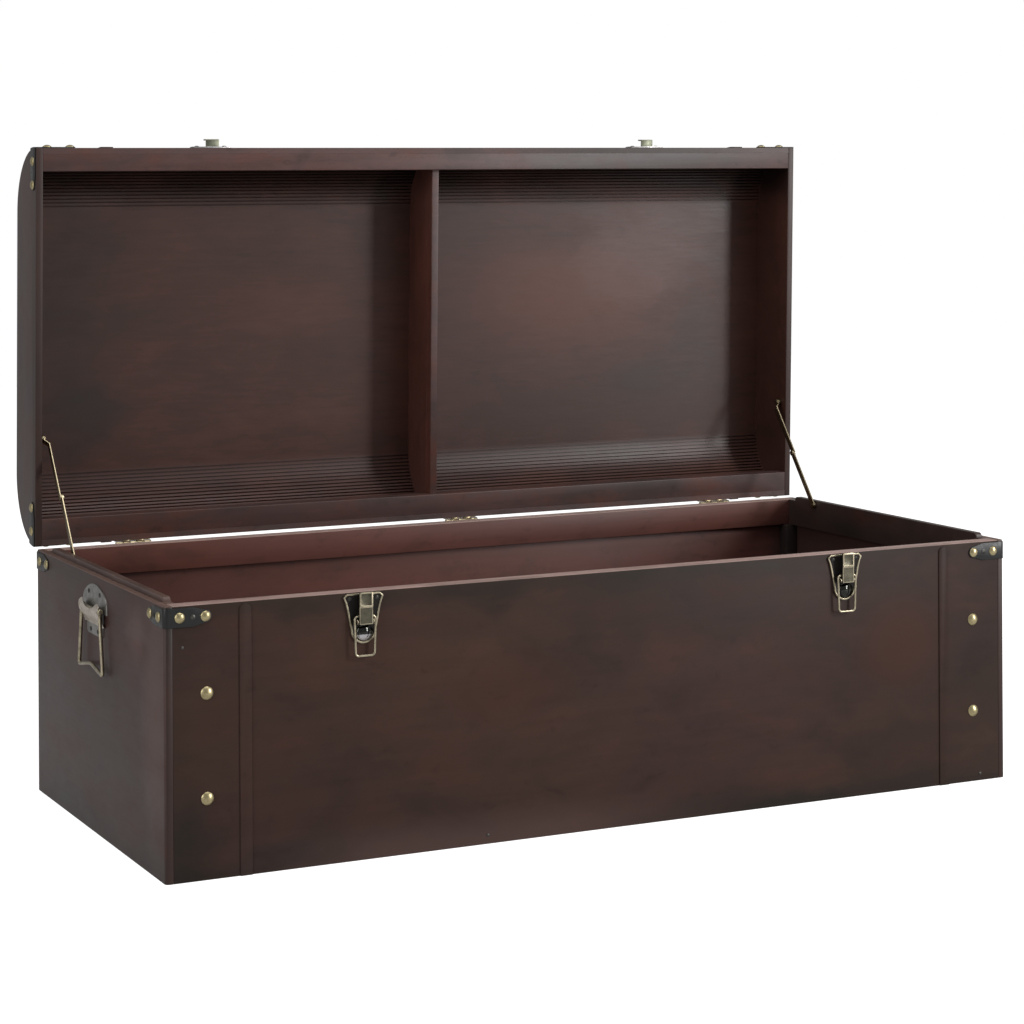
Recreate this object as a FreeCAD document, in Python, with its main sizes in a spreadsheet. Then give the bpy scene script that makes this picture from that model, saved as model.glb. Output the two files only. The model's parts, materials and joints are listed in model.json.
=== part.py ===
import FreeCAD, Part
import Sketcher
import math
import os
from FreeCAD import Placement, Rotation, Vector

# Storage trunk with a lid that has two rounded long edges, shown open.
# Origin at the middle of the underside, +X along the length, -Y to the front, +Z up, millimetres.

doc = FreeCAD.newDocument("trunk")
sheet = doc.addObject("Spreadsheet::Sheet", "dims")

driving = {
    # box
    "box_length": 1200, "box_depth": 540, "box_height": 325, "wall": 10, "edge_round": 5,
    "floor_thick": 9, "rail_thick": 12, "side_rail_thick": 10, "rail_height": 38,
    "lip_rise": 6, "lip_gap": 3, "lip_round": 5, "post_size": 20, "soft_edge": 1.2,
    # battens on the box and over the lid
    "batten_width": 18, "batten_thick": 2.2, "batten_from_end": 100, "batten_top_gap": 3,
    # lid
    "lid_gap": 1, "lid_wall": 9.4, "lid_skin": 8, "lid_rise": 95.5, "lid_bend": 90,
    "lid_front_rail": 24, "lid_rear_rail": 28, "lid_rail_height": 22,
    "divider_thick": 11, "divider_left_of_middle": 5, "divider_setback": 8,
    "kerf_width": 2.2, "kerf_depth": 3.4, "kerf_start_angle": 9, "kerf_span_angle": 76,
    # hinges
    "hinge_behind": 4.8, "hinge_below_top": 2, "lid_open_angle": 88.2, "hinge_width": 50,
    "hinge_from_end": 137.5, "hinge_right_of_middle": 35.5, "knuckle_radius": 4, "hinge_pin_radius": 1.6,
    "leaf_thick": 1.5, "box_leaf_height": 27, "lid_leaf_height": 16, "knuckle_gap": 0.4,
    # corner brackets, nails and screws
    "bracket_height": 23, "bracket_below_top": 2.5, "bracket_leg": 58, "bracket_thick": 1.3,
    "bracket_tip_radius": 7.5, "bracket_taper": 15, "nail_radius": 6.3, "nail_rise": 3.2,
    "nail_first": 18.5, "front_nail_radius": 8, "front_nail_rise": 4, "front_nail_from_end": 52,
    "front_nail_low": 96, "front_nail_high": 220, "shank_radius": 1, "shank_length": 7,
    "screw_radius": 3.1, "screw_rise": 1.2,
    # latches
    "latch_from_end": 255, "latch_left_of_middle": 4, "latch_below_top": 1.5, "latch_half_width": 26, "latch_corner": 5,
    "latch_waist_half": 18.5, "latch_waist_drop": 26, "latch_lobe_radius": 16.5, "latch_lobe_drop": 44.5,
    "latch_plate_thick": 1.6, "latch_rim_rise": 1, "latch_rim_width": 2.2, "latch_dish_radius": 8.5,
    "latch_dish_depth": 0.8, "latch_dish_below_pivot": 14.5, "latch_curve": 45, "latch_screw_half": 17,
    "pivot_below_top": 35.5, "pivot_stand": 7, "pivot_pin_radius": 1.5, "pin_clearance": 0.08,
    "ear_thick": 1.6, "ear_gap": 0.35, "ear_radius": 3.3, "lever_half_width": 8.75, "lever_sheet": 1.6,
    "lever_stand": 2.4, "lever_up": 36, "lever_down": 3, "lever_flange_in": 3.2, "lever_flange_up": 10,
    "tab_length": 18, "tab_extra": 0.7, "tab_rim": 2, "tab_recess": 1.2, "lever_swing": 175,
    "bail_wire_radius": 1.4, "bail_play": 0.3, "bail_offset": 6.4, "bail_half_width": 13.1,
    "bail_end_half_width": 11.6, "bail_reach": 47.7, "bail_corner": 4,
    # lid catches
    "catch_half_width": 27, "catch_height": 19, "catch_thick": 1.8, "hook_half_width": 8.5,
    "hook_stand": 12, "hook_sheet": 1.9, "hook_lip": 11, "hook_clearance": 0.3, "catch_edge_gap": 0.8,
    "catch_screw_half": 20,
    # handles
    "handle_below_top": 40, "handle_stand": 7, "handle_plate_thick": 2, "lobe_half": 51, "lobe_top": 30,
    "lobe_round": 20, "lobe_crown": 80, "lobe_bottom": 3, "tongue_half": 32, "tongue_drop": 34,
    "tongue_round": 6, "clip_half": 36, "clip_sheet": 1.6, "clip_above": 8, "clip_below": 17,
    "ring_wire_radius": 2.1, "ring_play": 0.3, "ring_half_top": 41, "ring_half_bottom": 48.5,
    "ring_drop": 77, "ring_peak": 9, "ring_corner": 5, "knob_radius": 4.6,
    "lobe_screw_half": 23, "lobe_screw_rise": 19, "tongue_screw_half": 15, "tongue_screw_drop": 28,
    # folding stays
    "stay_foot_from_rear": 96.5, "stay_foot_below_lip": 7, "stay_head_from_rear": 144,
    "stay_head_rise": 16, "stay_half_width": 4.5, "stay_thick": 1.5, "stay_gap": 0.5,
    "stay_wall_gap": 0.6, "stay_head_gap": 5, "stay_pin_radius": 2.2, "stay_boss_radius": 4,
    "stay_head_thick": 1.5, "joggle_start": 5, "joggle_end": 10.5,
}
for row, (name, value) in enumerate(driving.items(), start=1):
    sheet.set(f"A{row}", name)
    sheet.set(f"B{row}", str(value))
    sheet.setAlias(f"B{row}", name)
doc.recompute()


# A size keeps its number for placing sketch points and its formula for binding them to the sheet.
class Size:
    def __init__(self, value, formula):
        self.value = value
        self.formula = formula

    def __add__(self, other):
        other = sized(other)
        return Size(self.value + other.value, f"({self.formula} + {other.formula})")

    def __sub__(self, other):
        other = sized(other)
        return Size(self.value - other.value, f"({self.formula} - {other.formula})")

    def __mul__(self, other):
        other = sized(other)
        return Size(self.value * other.value, f"({self.formula} * {other.formula})")

    def __truediv__(self, other):
        other = sized(other)
        return Size(self.value / other.value, f"({self.formula} / {other.formula})")

    def __radd__(self, other):
        return sized(other) + self

    def __rsub__(self, other):
        return sized(other) - self

    def __rmul__(self, other):
        return sized(other) * self

    def __neg__(self):
        return Size(-self.value, f"(-{self.formula})")


def sized(number):
    return number if isinstance(number, Size) else Size(float(number), str(number))


def size(name):
    return Size(float(sheet.get(name)), f"dims.{name}")


def sine(angle):
    return Size(math.sin(math.radians(angle.value)), f"sin({angle.formula})")


def cosine(angle):
    return Size(math.cos(math.radians(angle.value)), f"cos({angle.formula})")


def root(square):
    return Size(math.sqrt(square.value), f"sqrt({square.formula})")


def direction(up, along):
    degrees = math.degrees(math.atan2(up.value, along.value))
    return Size(degrees, f"(atan2({up.formula}; {along.formula}) / 1 deg)")


def corner_angle(near, far):
    degrees = math.degrees(math.acos(near.value / far.value))
    return Size(degrees, f"(acos({near.formula} / {far.formula}) / 1 deg)")


def length(start, end):
    return root((end[0] - start[0]) * (end[0] - start[0]) + (end[1] - start[1]) * (end[1] - start[1]))


# Helpers that make bodies, sketches and features whose sizes are bound to the sheet.
parts = []


def piece(label):
    body = doc.addObject("PartDesign::Body", label)
    body.Label = label
    parts.append(body)
    return body


def pattern_piece(label):
    body = doc.addObject("PartDesign::Body", label)
    body.Label = label
    return body


def sketch_on(body, role, offset):
    sketch = body.newObject("Sketcher::SketchObject", f"{body.Label}_sketch")
    plane = next(item for item in body.Origin.OriginFeatures if item.Role == role)
    sketch.AttachmentSupport = [(plane, "")]
    sketch.MapMode = "FlatFace"
    sketch.setExpression(".AttachmentOffset.Base.z", sized(offset).formula)
    return sketch


def arc_between(start, end, radius, turn):
    # turn 1 runs anticlockwise from start to end, -1 clockwise, always the shorter way round
    chord = end - start
    rise = math.sqrt(max(radius * radius - chord.Length * chord.Length / 4, 0))
    side = Vector(-chord.y, chord.x, 0).normalize()
    centre = start + chord * 0.5 + side * (rise * turn)
    first, last = (start, end) if turn > 0 else (end, start)
    begin = math.atan2(first.y - centre.y, first.x - centre.x)
    finish = math.atan2(last.y - centre.y, last.x - centre.x)
    circle = Part.Circle(centre, Vector(0, 0, 1), radius)
    return Part.ArcOfCircle(circle, begin, finish if finish > begin else finish + 2 * math.pi)


# Closed outline: a step is (x, y) for a straight run to that point, or (x, y, radius, turn) for an arc.
def draw_outline(sketch, steps):
    steps = [tuple(sized(item) for item in step) for step in steps]
    spots = [Vector(step[0].value, step[1].value, 0) for step in steps]
    first = sketch.GeometryCount
    ends = []
    rules = []
    bound = []
    for index, step in enumerate(steps):
        start = spots[index - 1]
        if len(step) == 2:
            sketch.addGeometry(Part.LineSegment(start, spots[index]), False)
            ends.append((1, 2))
        else:
            turn = int(step[3].value)
            sketch.addGeometry(arc_between(start, spots[index], step[2].value, turn), False)
            ends.append((1, 2) if turn > 0 else (2, 1))
    for index, step in enumerate(steps):
        edge = first + index
        after = (index + 1) % len(steps)
        rules.append(Sketcher.Constraint("Coincident", edge, ends[index][1], first + after, ends[after][0]))
        rules.append(Sketcher.Constraint("DistanceX", -1, 1, edge, ends[index][1], step[0].value))
        bound.append((len(rules) - 1, step[0]))
        rules.append(Sketcher.Constraint("DistanceY", -1, 1, edge, ends[index][1], step[1].value))
        bound.append((len(rules) - 1, step[1]))
        if len(step) == 4:
            rules.append(Sketcher.Constraint("Radius", edge, step[2].value))
            bound.append((len(rules) - 1, step[2]))
    earlier = sketch.ConstraintCount
    sketch.addConstraint(rules)
    for index, item in bound:
        sketch.setExpression(f"Constraints[{earlier + index}]", item.formula)


def draw_circle(sketch, across, up, radius):
    across, up, radius = sized(across), sized(up), sized(radius)
    centre = Vector(across.value, up.value, 0)
    edge = sketch.GeometryCount
    sketch.addGeometry(Part.Circle(centre, Vector(0, 0, 1), radius.value), False)
    earlier = sketch.ConstraintCount
    sketch.addConstraint([Sketcher.Constraint("DistanceX", -1, 1, edge, 3, across.value),
                          Sketcher.Constraint("DistanceY", -1, 1, edge, 3, up.value),
                          Sketcher.Constraint("Radius", edge, radius.value)])
    for index, item in enumerate((across, up, radius)):
        sketch.setExpression(f"Constraints[{earlier + index}]", item.formula)


def rectangle(low_x, low_y, high_x, high_y):
    return [(low_x, low_y), (high_x, low_y), (high_x, high_y), (low_x, high_y)]


# Adds material from the plane at offset, along the plane's normal. XZ_Plane's normal is -Y.
def add_slab(body, role, offset, thickness, steps):
    sketch = sketch_on(body, role, offset)
    draw_outline(sketch, steps)
    pad = body.newObject("PartDesign::Pad", f"{body.Label}_pad")
    pad.Profile = sketch
    pad.setExpression("Length", sized(thickness).formula)
    doc.recompute()


def add_disc(body, role, offset, thickness, across, up, radius):
    sketch = sketch_on(body, role, offset)
    draw_circle(sketch, across, up, radius)
    pad = body.newObject("PartDesign::Pad", f"{body.Label}_disc")
    pad.Profile = sketch
    pad.setExpression("Length", sized(thickness).formula)
    doc.recompute()


def finish_cut(body, sketch, depth):
    before = body.Shape.Volume
    pocket = body.newObject("PartDesign::Pocket", f"{body.Label}_pocket")
    pocket.Profile = sketch
    pocket.Reversed = True
    pocket.setExpression("Length", sized(depth).formula)
    doc.recompute()
    if not body.Shape.Volume < before:
        raise ValueError(f"{body.Label}: a pocket cuts nothing")


def cut_slab(body, role, offset, depth, steps):
    sketch = sketch_on(body, role, offset)
    draw_outline(sketch, steps)
    finish_cut(body, sketch, depth)


def cut_disc(body, role, offset, depth, across, up, radius):
    sketch = sketch_on(body, role, offset)
    draw_circle(sketch, across, up, radius)
    finish_cut(body, sketch, depth)


def round_edges(body, radius, wanted):
    base = body.Tip
    names = [f"Edge{number}" for number, edge in enumerate(base.Shape.Edges, start=1) if wanted(edge)]
    fillet = body.newObject("PartDesign::Fillet", f"{body.Label}_fillet")
    fillet.Base = (base, names)
    fillet.setExpression("Radius", radius.formula)
    doc.recompute()


def near(first, second):
    return abs(first - second) < 0.01


def block(label, low, high):
    body = piece(label)
    add_slab(body, "XY_Plane", low[2], high[2] - low[2], rectangle(low[0], low[1], high[0], high[1]))
    return body


# Separate copies of one small piece, in one named part.
def group(label, source, spots):
    feature = doc.addObject("Part::Feature", label)
    feature.Label = label
    copies = []
    for spot in spots:
        copy = source.copy()
        copy.Placement = spot.multiply(copy.Placement)
        copies.append(copy)
    feature.Shape = Part.makeCompound(copies)
    parts.append(feature)
    return feature


def move_body(body, across=0, back=0, up=0):
    body.setExpression(".Placement.Base.x", sized(across).formula)
    body.setExpression(".Placement.Base.y", sized(back).formula)
    body.setExpression(".Placement.Base.z", sized(up).formula)


# A round wire swept along a closed path of points, with an arc at every corner.
def wire_loop(corners, radius, bends):
    edges = []
    count = len(corners)
    starts = []
    stops = []
    for index, corner in enumerate(corners):
        before = (corners[index - 1] - corner).normalize()
        after = (corners[(index + 1) % count] - corner).normalize()
        half = math.acos(max(-1, min(1, before.dot(after)))) / 2
        reach = bends[index] / math.tan(half)
        middle = (before + after).normalize() * (bends[index] / math.sin(half) - bends[index])
        starts.append(corner + before * reach)
        stops.append(corner + after * reach)
        edges.append(Part.Arc(starts[-1], corner + middle, stops[-1]).toShape())
    for index in range(count):
        edges.append(Part.makeLine(stops[index], starts[(index + 1) % count]))
    path = Part.Wire(Part.__sortEdges__(edges))
    first = path.OrderedEdges[0]
    start = first.valueAt(first.FirstParameter)
    along = first.tangentAt(first.FirstParameter)
    section = Part.Wire([Part.makeCircle(radius, start, along)])
    pipe = path.makePipeShell([section], True, False)
    return pipe


box_length, box_depth, box_height = size("box_length"), size("box_depth"), size("box_height")
wall = size("wall")
half_length = box_length / 2
half_depth = box_depth / 2
soft_edge = size("soft_edge")


# Box: two end panels over the full depth, front and back panels between them, floor inside.
def make_box():
    edge_round = size("edge_round")
    for label, low in (("left_panel", -half_length), ("right_panel", half_length - wall)):
        body = block(label, (low, -half_depth, 0), (low + wall, half_depth, box_height))
        outer = -half_length.value if label == "left_panel" else half_length.value
        round_edges(body, edge_round, lambda edge: near(edge.BoundBox.XMin, outer)
                    and near(edge.BoundBox.XMax, outer) and edge.BoundBox.ZLength > wall.value)
        round_edges(body, soft_edge, lambda edge: near(edge.BoundBox.ZMin, box_height.value)
                    and edge.BoundBox.YLength > wall.value)
    inner = half_length - wall
    for label, low in (("front_panel", -half_depth), ("back_panel", half_depth - wall)):
        body = block(label, (-inner, low, 0), (inner, low + wall, box_height))
        outer = -half_depth.value if label == "front_panel" else half_depth.value
        round_edges(body, soft_edge, lambda edge: near(edge.BoundBox.ZMin, box_height.value)
                    and near(edge.BoundBox.YMin, outer) and near(edge.BoundBox.YMax, outer)
                    and edge.BoundBox.XLength > wall.value)
    block("floor_panel", (-inner, wall - half_depth, 0), (inner, half_depth - wall, size("floor_thick")))


def make_rails():
    rail_thick, side_thick, rail_height = size("rail_thick"), size("side_rail_thick"), size("rail_height")
    inner = half_length - wall
    low = box_height - rail_height
    rear_face = half_depth - wall - rail_thick
    for label, near_face in (("front_rail", wall - half_depth), ("rear_rail", rear_face)):
        body = block(label, (-inner, near_face, low), (inner, near_face + rail_thick, box_height))
        face = (near_face + rail_thick if label == "front_rail" else near_face).value
        round_edges(body, soft_edge, lambda edge: near(edge.BoundBox.YMin, face)
                    and near(edge.BoundBox.YMax, face) and edge.BoundBox.XLength > wall.value)
    # side rails stand above the rim between the lid's rails, as a lip that the lid closes over
    lip_rise, lip_gap, lip_round = size("lip_rise"), size("lip_gap"), size("lip_round")
    end = half_depth - wall - rail_thick
    lip_front = lip_gap + size("lid_skin") + size("lid_front_rail") - half_depth
    lip_rear = half_depth - size("lid_skin") - size("lid_rear_rail") - lip_gap
    lip_top = box_height + lip_rise
    side = [(-end, low), (end, low), (end, box_height), (lip_rear, box_height),
            (lip_rear, lip_top - lip_round), (lip_rear - lip_round, lip_top, lip_round, 1),
            (lip_front + lip_round, lip_top), (lip_front, lip_top - lip_round, lip_round, 1),
            (lip_front, box_height), (-end, box_height)]
    for label, near_face in (("left_side_rail", -inner), ("right_side_rail", inner - side_thick)):
        body = piece(label)
        add_slab(body, "YZ_Plane", near_face, side_thick, side)
        round_edges(body, soft_edge, lambda edge: near(edge.BoundBox.ZMin, lip_top.value)
                    and edge.BoundBox.YLength > wall.value)


def make_posts():
    post = size("post_size")
    low = size("floor_thick")
    high = box_height - size("rail_height")
    inner_x = (half_length - wall - post / 2).value
    inner_y = (half_depth - wall - post / 2).value
    body = pattern_piece("corner_post")
    add_slab(body, "XY_Plane", low, high - low, rectangle(-post / 2, -post / 2, post / 2, post / 2))
    group("corner_posts", body.Shape,
          [Placement(Vector(x * inner_x, y * inner_y, 0), Rotation()) for x in (-1, 1) for y in (-1, 1)])


def make_box_battens():
    width, thick, from_end = size("batten_width"), size("batten_thick"), size("batten_from_end")
    top = box_height - size("batten_top_gap")
    half = width / 2
    for label, side, front in (("front_left_batten", -1, True), ("front_right_batten", 1, True),
                               ("rear_left_batten", -1, False), ("rear_right_batten", 1, False)):
        middle = (half_length - from_end) * side
        outline = [(middle - half, 0), (middle + half, 0), (middle + half, top - half),
                   (middle, top, half, 1), (middle - half, top - half, half, 1)]
        face = half_depth if front else -half_depth - thick
        body = piece(label)
        add_slab(body, "XZ_Plane", face, thick, outline)
        outer = -(half_depth.value + thick.value) if front else half_depth.value + thick.value
        round_edges(body, soft_edge, lambda edge: near(edge.BoundBox.YMin, outer)
                    and near(edge.BoundBox.YMax, outer) and edge.BoundBox.ZMax > wall.value)


# Lid, drawn closed and then turned back about the hinge line to the open rest place.
rim = box_height + size("lid_gap")
lid_rise, lid_bend, lid_skin = size("lid_rise"), size("lid_bend"), size("lid_skin")
bend_start = rim + lid_rise - lid_bend
lid_top = rim + lid_rise
hinge_y = half_depth + size("hinge_behind")
hinge_z = box_height - size("hinge_below_top")
open_angle = size("lid_open_angle")


def turn_open(point):
    back = point[0] - hinge_y
    up = point[1] - hinge_z
    return (hinge_y + back * cosine(open_angle) + up * sine(open_angle),
            hinge_z - back * sine(open_angle) + up * cosine(open_angle))


# A lid piece may first be moved along X by across.
def open_lid_piece(part, across=0):
    moved = turn_open((sized(0), sized(0)))
    part.Placement = Placement(Vector(), Rotation(Vector(1, 0, 0), -open_angle.value))
    part.setExpression(".Placement.Rotation.Angle", (-open_angle).formula)
    move_body(part, across, moved[0], moved[1])


def lid_outline(inset):
    reach = half_depth - inset
    bend = lid_bend - inset
    crown = lid_top - inset
    return [(-reach, rim), (reach, rim), (reach, bend_start), (half_depth - lid_bend, crown, bend, 1),
            (lid_bend - half_depth, crown), (-reach, bend_start, bend, 1)]


def make_lid_ends():
    lid_wall = size("lid_wall")
    for label, low in (("lid_left_end", -half_length), ("lid_right_end", half_length - lid_wall)):
        body = piece(label)
        add_slab(body, "YZ_Plane", low, lid_wall, lid_outline(0))
        outer = -half_length.value if label == "lid_left_end" else half_length.value
        round_edges(body, soft_edge, lambda edge: near(edge.BoundBox.XMin, outer)
                    and near(edge.BoundBox.XMax, outer))
        open_lid_piece(body)


def make_lid_top():
    body = piece("lid_top")
    inner = half_length - size("lid_wall")
    outline = lid_outline(0)
    hollow = lid_outline(lid_skin)
    strip = [hollow[1], outline[1]] + outline[2:] + [outline[0], hollow[0], hollow[5][:2],
             (lid_bend - half_depth, lid_top - lid_skin, lid_bend - lid_skin, -1),
             (half_depth - lid_bend, lid_top - lid_skin),
             (half_depth - lid_skin, bend_start, lid_bend - lid_skin, -1)]
    add_slab(body, "YZ_Plane", -inner, inner * 2, strip)
    # saw kerfs across the inside of both bends, one cut and then turned about the bend's centre
    depth, width = size("kerf_depth"), size("kerf_width")
    first, span = size("kerf_start_angle"), size("kerf_span_angle")
    count = max(2, round(math.radians(span.value) * (lid_bend - lid_skin).value / (width.value * 2.2)))
    for side in (1, -1):
        centre_y = (half_depth - lid_bend) * side
        reach = lid_bend - lid_skin
        copies = []
        for number in range(count):
            angle = first + span * (number / (count - 1))
            out_y, out_z = cosine(angle) * side, sine(angle)
            step_y, step_z = -out_z * width / 2, out_y * width / 2
            inner_y = centre_y + out_y * (reach - soft_edge)
            inner_z = bend_start + out_z * (reach - soft_edge)
            outer_y = centre_y + out_y * (reach + depth)
            outer_z = bend_start + out_z * (reach + depth)
            copies.append([(inner_y - step_y, inner_z - step_z), (outer_y - step_y, outer_z - step_z),
                           (outer_y + step_y, outer_z + step_z), (inner_y + step_y, inner_z + step_z)])
        sketch = sketch_on(body, "YZ_Plane", -inner)
        for steps in copies:
            draw_outline(sketch, steps)
        finish_cut(body, sketch, inner * 2)
    open_lid_piece(body)


def make_lid_rails():
    inner = half_length - size("lid_wall")
    height = size("lid_rail_height")
    front, rear = size("lid_front_rail"), size("lid_rear_rail")
    face = half_depth - lid_skin
    clear = lid_bend - lid_skin - root((lid_bend - lid_skin) * (lid_bend - lid_skin)
                                       - (rim + height - bend_start) * (rim + height - bend_start))
    for label, side, depth in (("lid_front_rail", -1, front), ("lid_rear_rail", 1, rear)):
        body = piece(label)
        inside = (face - depth) * side
        arc = [(face * side, rim), (face * side, bend_start),
               ((face - clear) * side, rim + height, lid_bend - lid_skin, side),
               (inside, rim + height), (inside, rim)]
        add_slab(body, "YZ_Plane", -inner, inner * 2, arc)
        round_edges(body, soft_edge, lambda edge: near(edge.BoundBox.YMin, inside.value)
                    and near(edge.BoundBox.YMax, inside.value) and edge.BoundBox.XLength > wall.value)
        open_lid_piece(body)


def make_divider():
    thick = size("divider_thick")
    low = -size("divider_left_of_middle") - thick / 2
    setback = size("divider_setback")
    front = lid_skin + size("lid_front_rail") - half_depth
    rear = half_depth - lid_skin - size("lid_rear_rail")
    top = rim + size("lid_rail_height")
    reach = half_depth - lid_skin
    bend = lid_bend - lid_skin
    crown = lid_top - lid_skin
    height = top - bend_start
    clear = bend - root(bend * bend - height * height)
    body = piece("lid_divider")
    add_slab(body, "YZ_Plane", low, thick,
             [(front, rim + setback), (rear, rim + setback), (rear, top), (reach - clear, top),
              (half_depth - lid_bend, crown, bend, 1), (lid_bend - half_depth, crown),
              (clear - reach, top, bend, 1), (front, top)])
    round_edges(body, soft_edge, lambda edge: near(edge.BoundBox.ZMax, (rim + setback).value)
                and edge.BoundBox.YLength > wall.value)
    open_lid_piece(body)


def make_lid_battens():
    width, thick, from_end = size("batten_width"), size("batten_thick"), size("batten_from_end")
    outline = lid_outline(0)
    reach = half_depth + thick
    crown = lid_top + thick
    outer_bend = lid_bend + thick
    strip = [outline[1], (reach, rim), (reach, bend_start), (half_depth - lid_bend, crown, outer_bend, 1),
             (lid_bend - half_depth, crown), (-reach, bend_start, outer_bend, 1), (-reach, rim), outline[0],
             (-half_depth, bend_start), (lid_bend - half_depth, lid_top, lid_bend, -1),
             (half_depth - lid_bend, lid_top), (half_depth, bend_start, lid_bend, -1)]
    for label, side in (("lid_left_batten", -1), ("lid_right_batten", 1)):
        body = piece(label)
        add_slab(body, "YZ_Plane", (half_length - from_end) * side - width / 2, width, strip)
        outer = reach.value
        round_edges(body, soft_edge, lambda edge: edge.BoundBox.XLength < width.value / 2
                    and (edge.BoundBox.ZMax > (lid_top + thick / 2).value
                         or near(edge.BoundBox.YMax, outer) or near(edge.BoundBox.YMin, -outer)))
        open_lid_piece(body)


# Pressed nail and small pan-head screw, both drawn with the head on +Z and the shank below.
def make_nail(label, radius, rise):
    body = pattern_piece(label)
    shank, deep = size("shank_radius"), size("shank_length")
    dome = (radius * radius + rise * rise) / (rise * 2)
    sketch = sketch_on(body, "XZ_Plane", 0)
    draw_outline(sketch, [(0, -deep), (shank, -deep), (shank, 0), (radius, 0), (0, rise, dome, 1)])
    spin = body.newObject("PartDesign::Revolution", f"{label}_spin")
    spin.Profile = sketch
    spin.ReferenceAxis = (sketch, ["V_Axis"])
    spin.Angle = 360
    doc.recompute()
    return body.Shape


def make_screw():
    body = pattern_piece("wood_screw")
    radius, rise = size("screw_radius"), size("screw_rise")
    shank, deep = size("shank_radius"), size("shank_length")
    brim = rise / 3
    crown = rise - brim
    dome = (radius * radius + crown * crown) / (crown * 2)
    sketch = sketch_on(body, "XZ_Plane", 0)
    draw_outline(sketch, [(0, -deep), (shank, -deep), (shank, 0), (radius, 0), (radius, brim),
                          (0, rise, dome, 1)])
    spin = body.newObject("PartDesign::Revolution", "wood_screw_spin")
    spin.Profile = sketch
    spin.ReferenceAxis = (sketch, ["V_Axis"])
    spin.Angle = 360
    doc.recompute()
    # crossed recess
    arm, slot = radius * 0.6, radius / 8
    cut_slab(body, "XY_Plane", rise / 2, rise,
             [(arm, -slot), (arm, slot), (slot, slot), (slot, arm), (-slot, arm), (-slot, slot),
              (-arm, slot), (-arm, -slot), (-slot, -slot), (-slot, -arm), (slot, -arm), (slot, -slot)])
    return body.Shape


def facing(x, y, z, normal):
    return Placement(Vector(x, y, z), Rotation(Vector(0, 0, 1), Vector(*normal)))


# A spot on the lid's front or rear face at a height above the rim, with the face's own normal.
def on_lid_face(x, side, above_rim, stand):
    height = (rim - bend_start).value + above_rim
    bend = lid_bend.value
    lean = math.asin(max(0, height) / bend)
    centre_y = half_depth.value - bend
    reach = bend + stand
    y = centre_y + reach * math.cos(lean)
    z = bend_start.value + (reach * math.sin(lean) if height > 0 else height)
    return facing(x, side * y, z, (0, side * math.cos(lean), math.sin(lean)))


# Leg of a corner bracket: full height, then drawn in to a round tip about the outer nail.
def bracket_leg(start, low):
    height, leg, tip, taper = (size(name) for name in ("bracket_height", "bracket_leg",
                                                      "bracket_tip_radius", "bracket_taper"))
    middle = low + height / 2
    shoulder = leg - tip - taper
    return [(start, low), (shoulder, low), (leg - tip, middle - tip), (leg, middle, tip, 1),
            (leg - tip, middle + tip, tip, 1), (shoulder, low + height), (start, low + height)]


# Four box brackets are one piece turned to each corner: a round corner with two equal legs.
def make_box_brackets():
    thick, height, bend = size("bracket_thick"), size("bracket_height"), size("edge_round")
    body = pattern_piece("box_bracket")
    outer = bend + thick
    add_slab(body, "XY_Plane", 0, height,
             [(bend, 0), (0, bend, bend, -1), (-thick, bend), (bend, -thick, outer, 1)])
    add_slab(body, "XZ_Plane", 0, thick, bracket_leg(bend, sized(0)))
    add_slab(body, "YZ_Plane", -thick, thick, bracket_leg(bend, sized(0)))
    low = (box_height - size("bracket_below_top") - height).value
    corners = ((-1, -1, 0), (1, -1, 90), (1, 1, 180), (-1, 1, 270))
    group("box_brackets", body.Shape,
          [Placement(Vector(half_length.value * x, half_depth.value * y, low),
                     Rotation(Vector(0, 0, 1), turn)) for x, y, turn in corners])


# Lid brackets follow the lid's rounded front or rear edge, so the four are mirror images.
def make_lid_brackets():
    thick, height, below = size("bracket_thick"), size("bracket_height"), size("bracket_below_top")
    body = pattern_piece("lid_bracket")
    low = rim + below
    high = low + height
    outer_bend = lid_bend + thick
    rise = high - bend_start
    inner_y = half_depth - lid_bend + root(lid_bend * lid_bend - rise * rise)
    outer_y = half_depth - lid_bend + root(outer_bend * outer_bend - rise * rise)
    corner_y = half_depth + thick
    hug = [(-half_depth, low), (-half_depth, bend_start), (-inner_y, high, lid_bend, -1), (-outer_y, high),
           (-corner_y, bend_start, outer_bend, 1), (-corner_y, low)]
    leg = size("bracket_leg")
    add_slab(body, "YZ_Plane", -half_length - thick, thick + leg, hug)
    taper = bracket_leg(sized(0), low)
    tip = size("bracket_tip_radius")
    middle = low + height / 2
    shoulder = leg - half_length - tip - size("bracket_taper")
    beyond = leg - half_length + thick
    for side, edge, far in ((1, high, high + thick), (-1, low, low - thick)):
        outline = [(shoulder, edge), (leg - half_length - tip, middle + tip * side),
                   (leg - half_length, middle, tip, -side), (beyond, middle), (beyond, far), (shoulder, far)]
        cut_slab(body, "XZ_Plane", inner_y - thick, corner_y - inner_y + thick * 2, outline)
    end_leg = [(step[0] - half_depth,) + tuple(step[1:]) for step in taper[1:-1]]
    outline = [(-corner_y, low)] + end_leg + [(-outer_y, high), (-corner_y, bend_start, outer_bend, 1)]
    add_slab(body, "YZ_Plane", -half_length - thick, thick, outline)
    shapes = []
    for x in (False, True):
        for y in (False, True):
            shape = body.Shape.copy()
            shape = shape.mirror(Vector(), Vector(1, 0, 0)) if x else shape
            shapes.append(shape.mirror(Vector(), Vector(0, 1, 0)) if y else shape)
    feature = doc.addObject("Part::Feature", "lid_brackets")
    feature.Label = "lid_brackets"
    feature.Shape = Part.makeCompound(shapes)
    parts.append(feature)
    open_lid_piece(feature)


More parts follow.
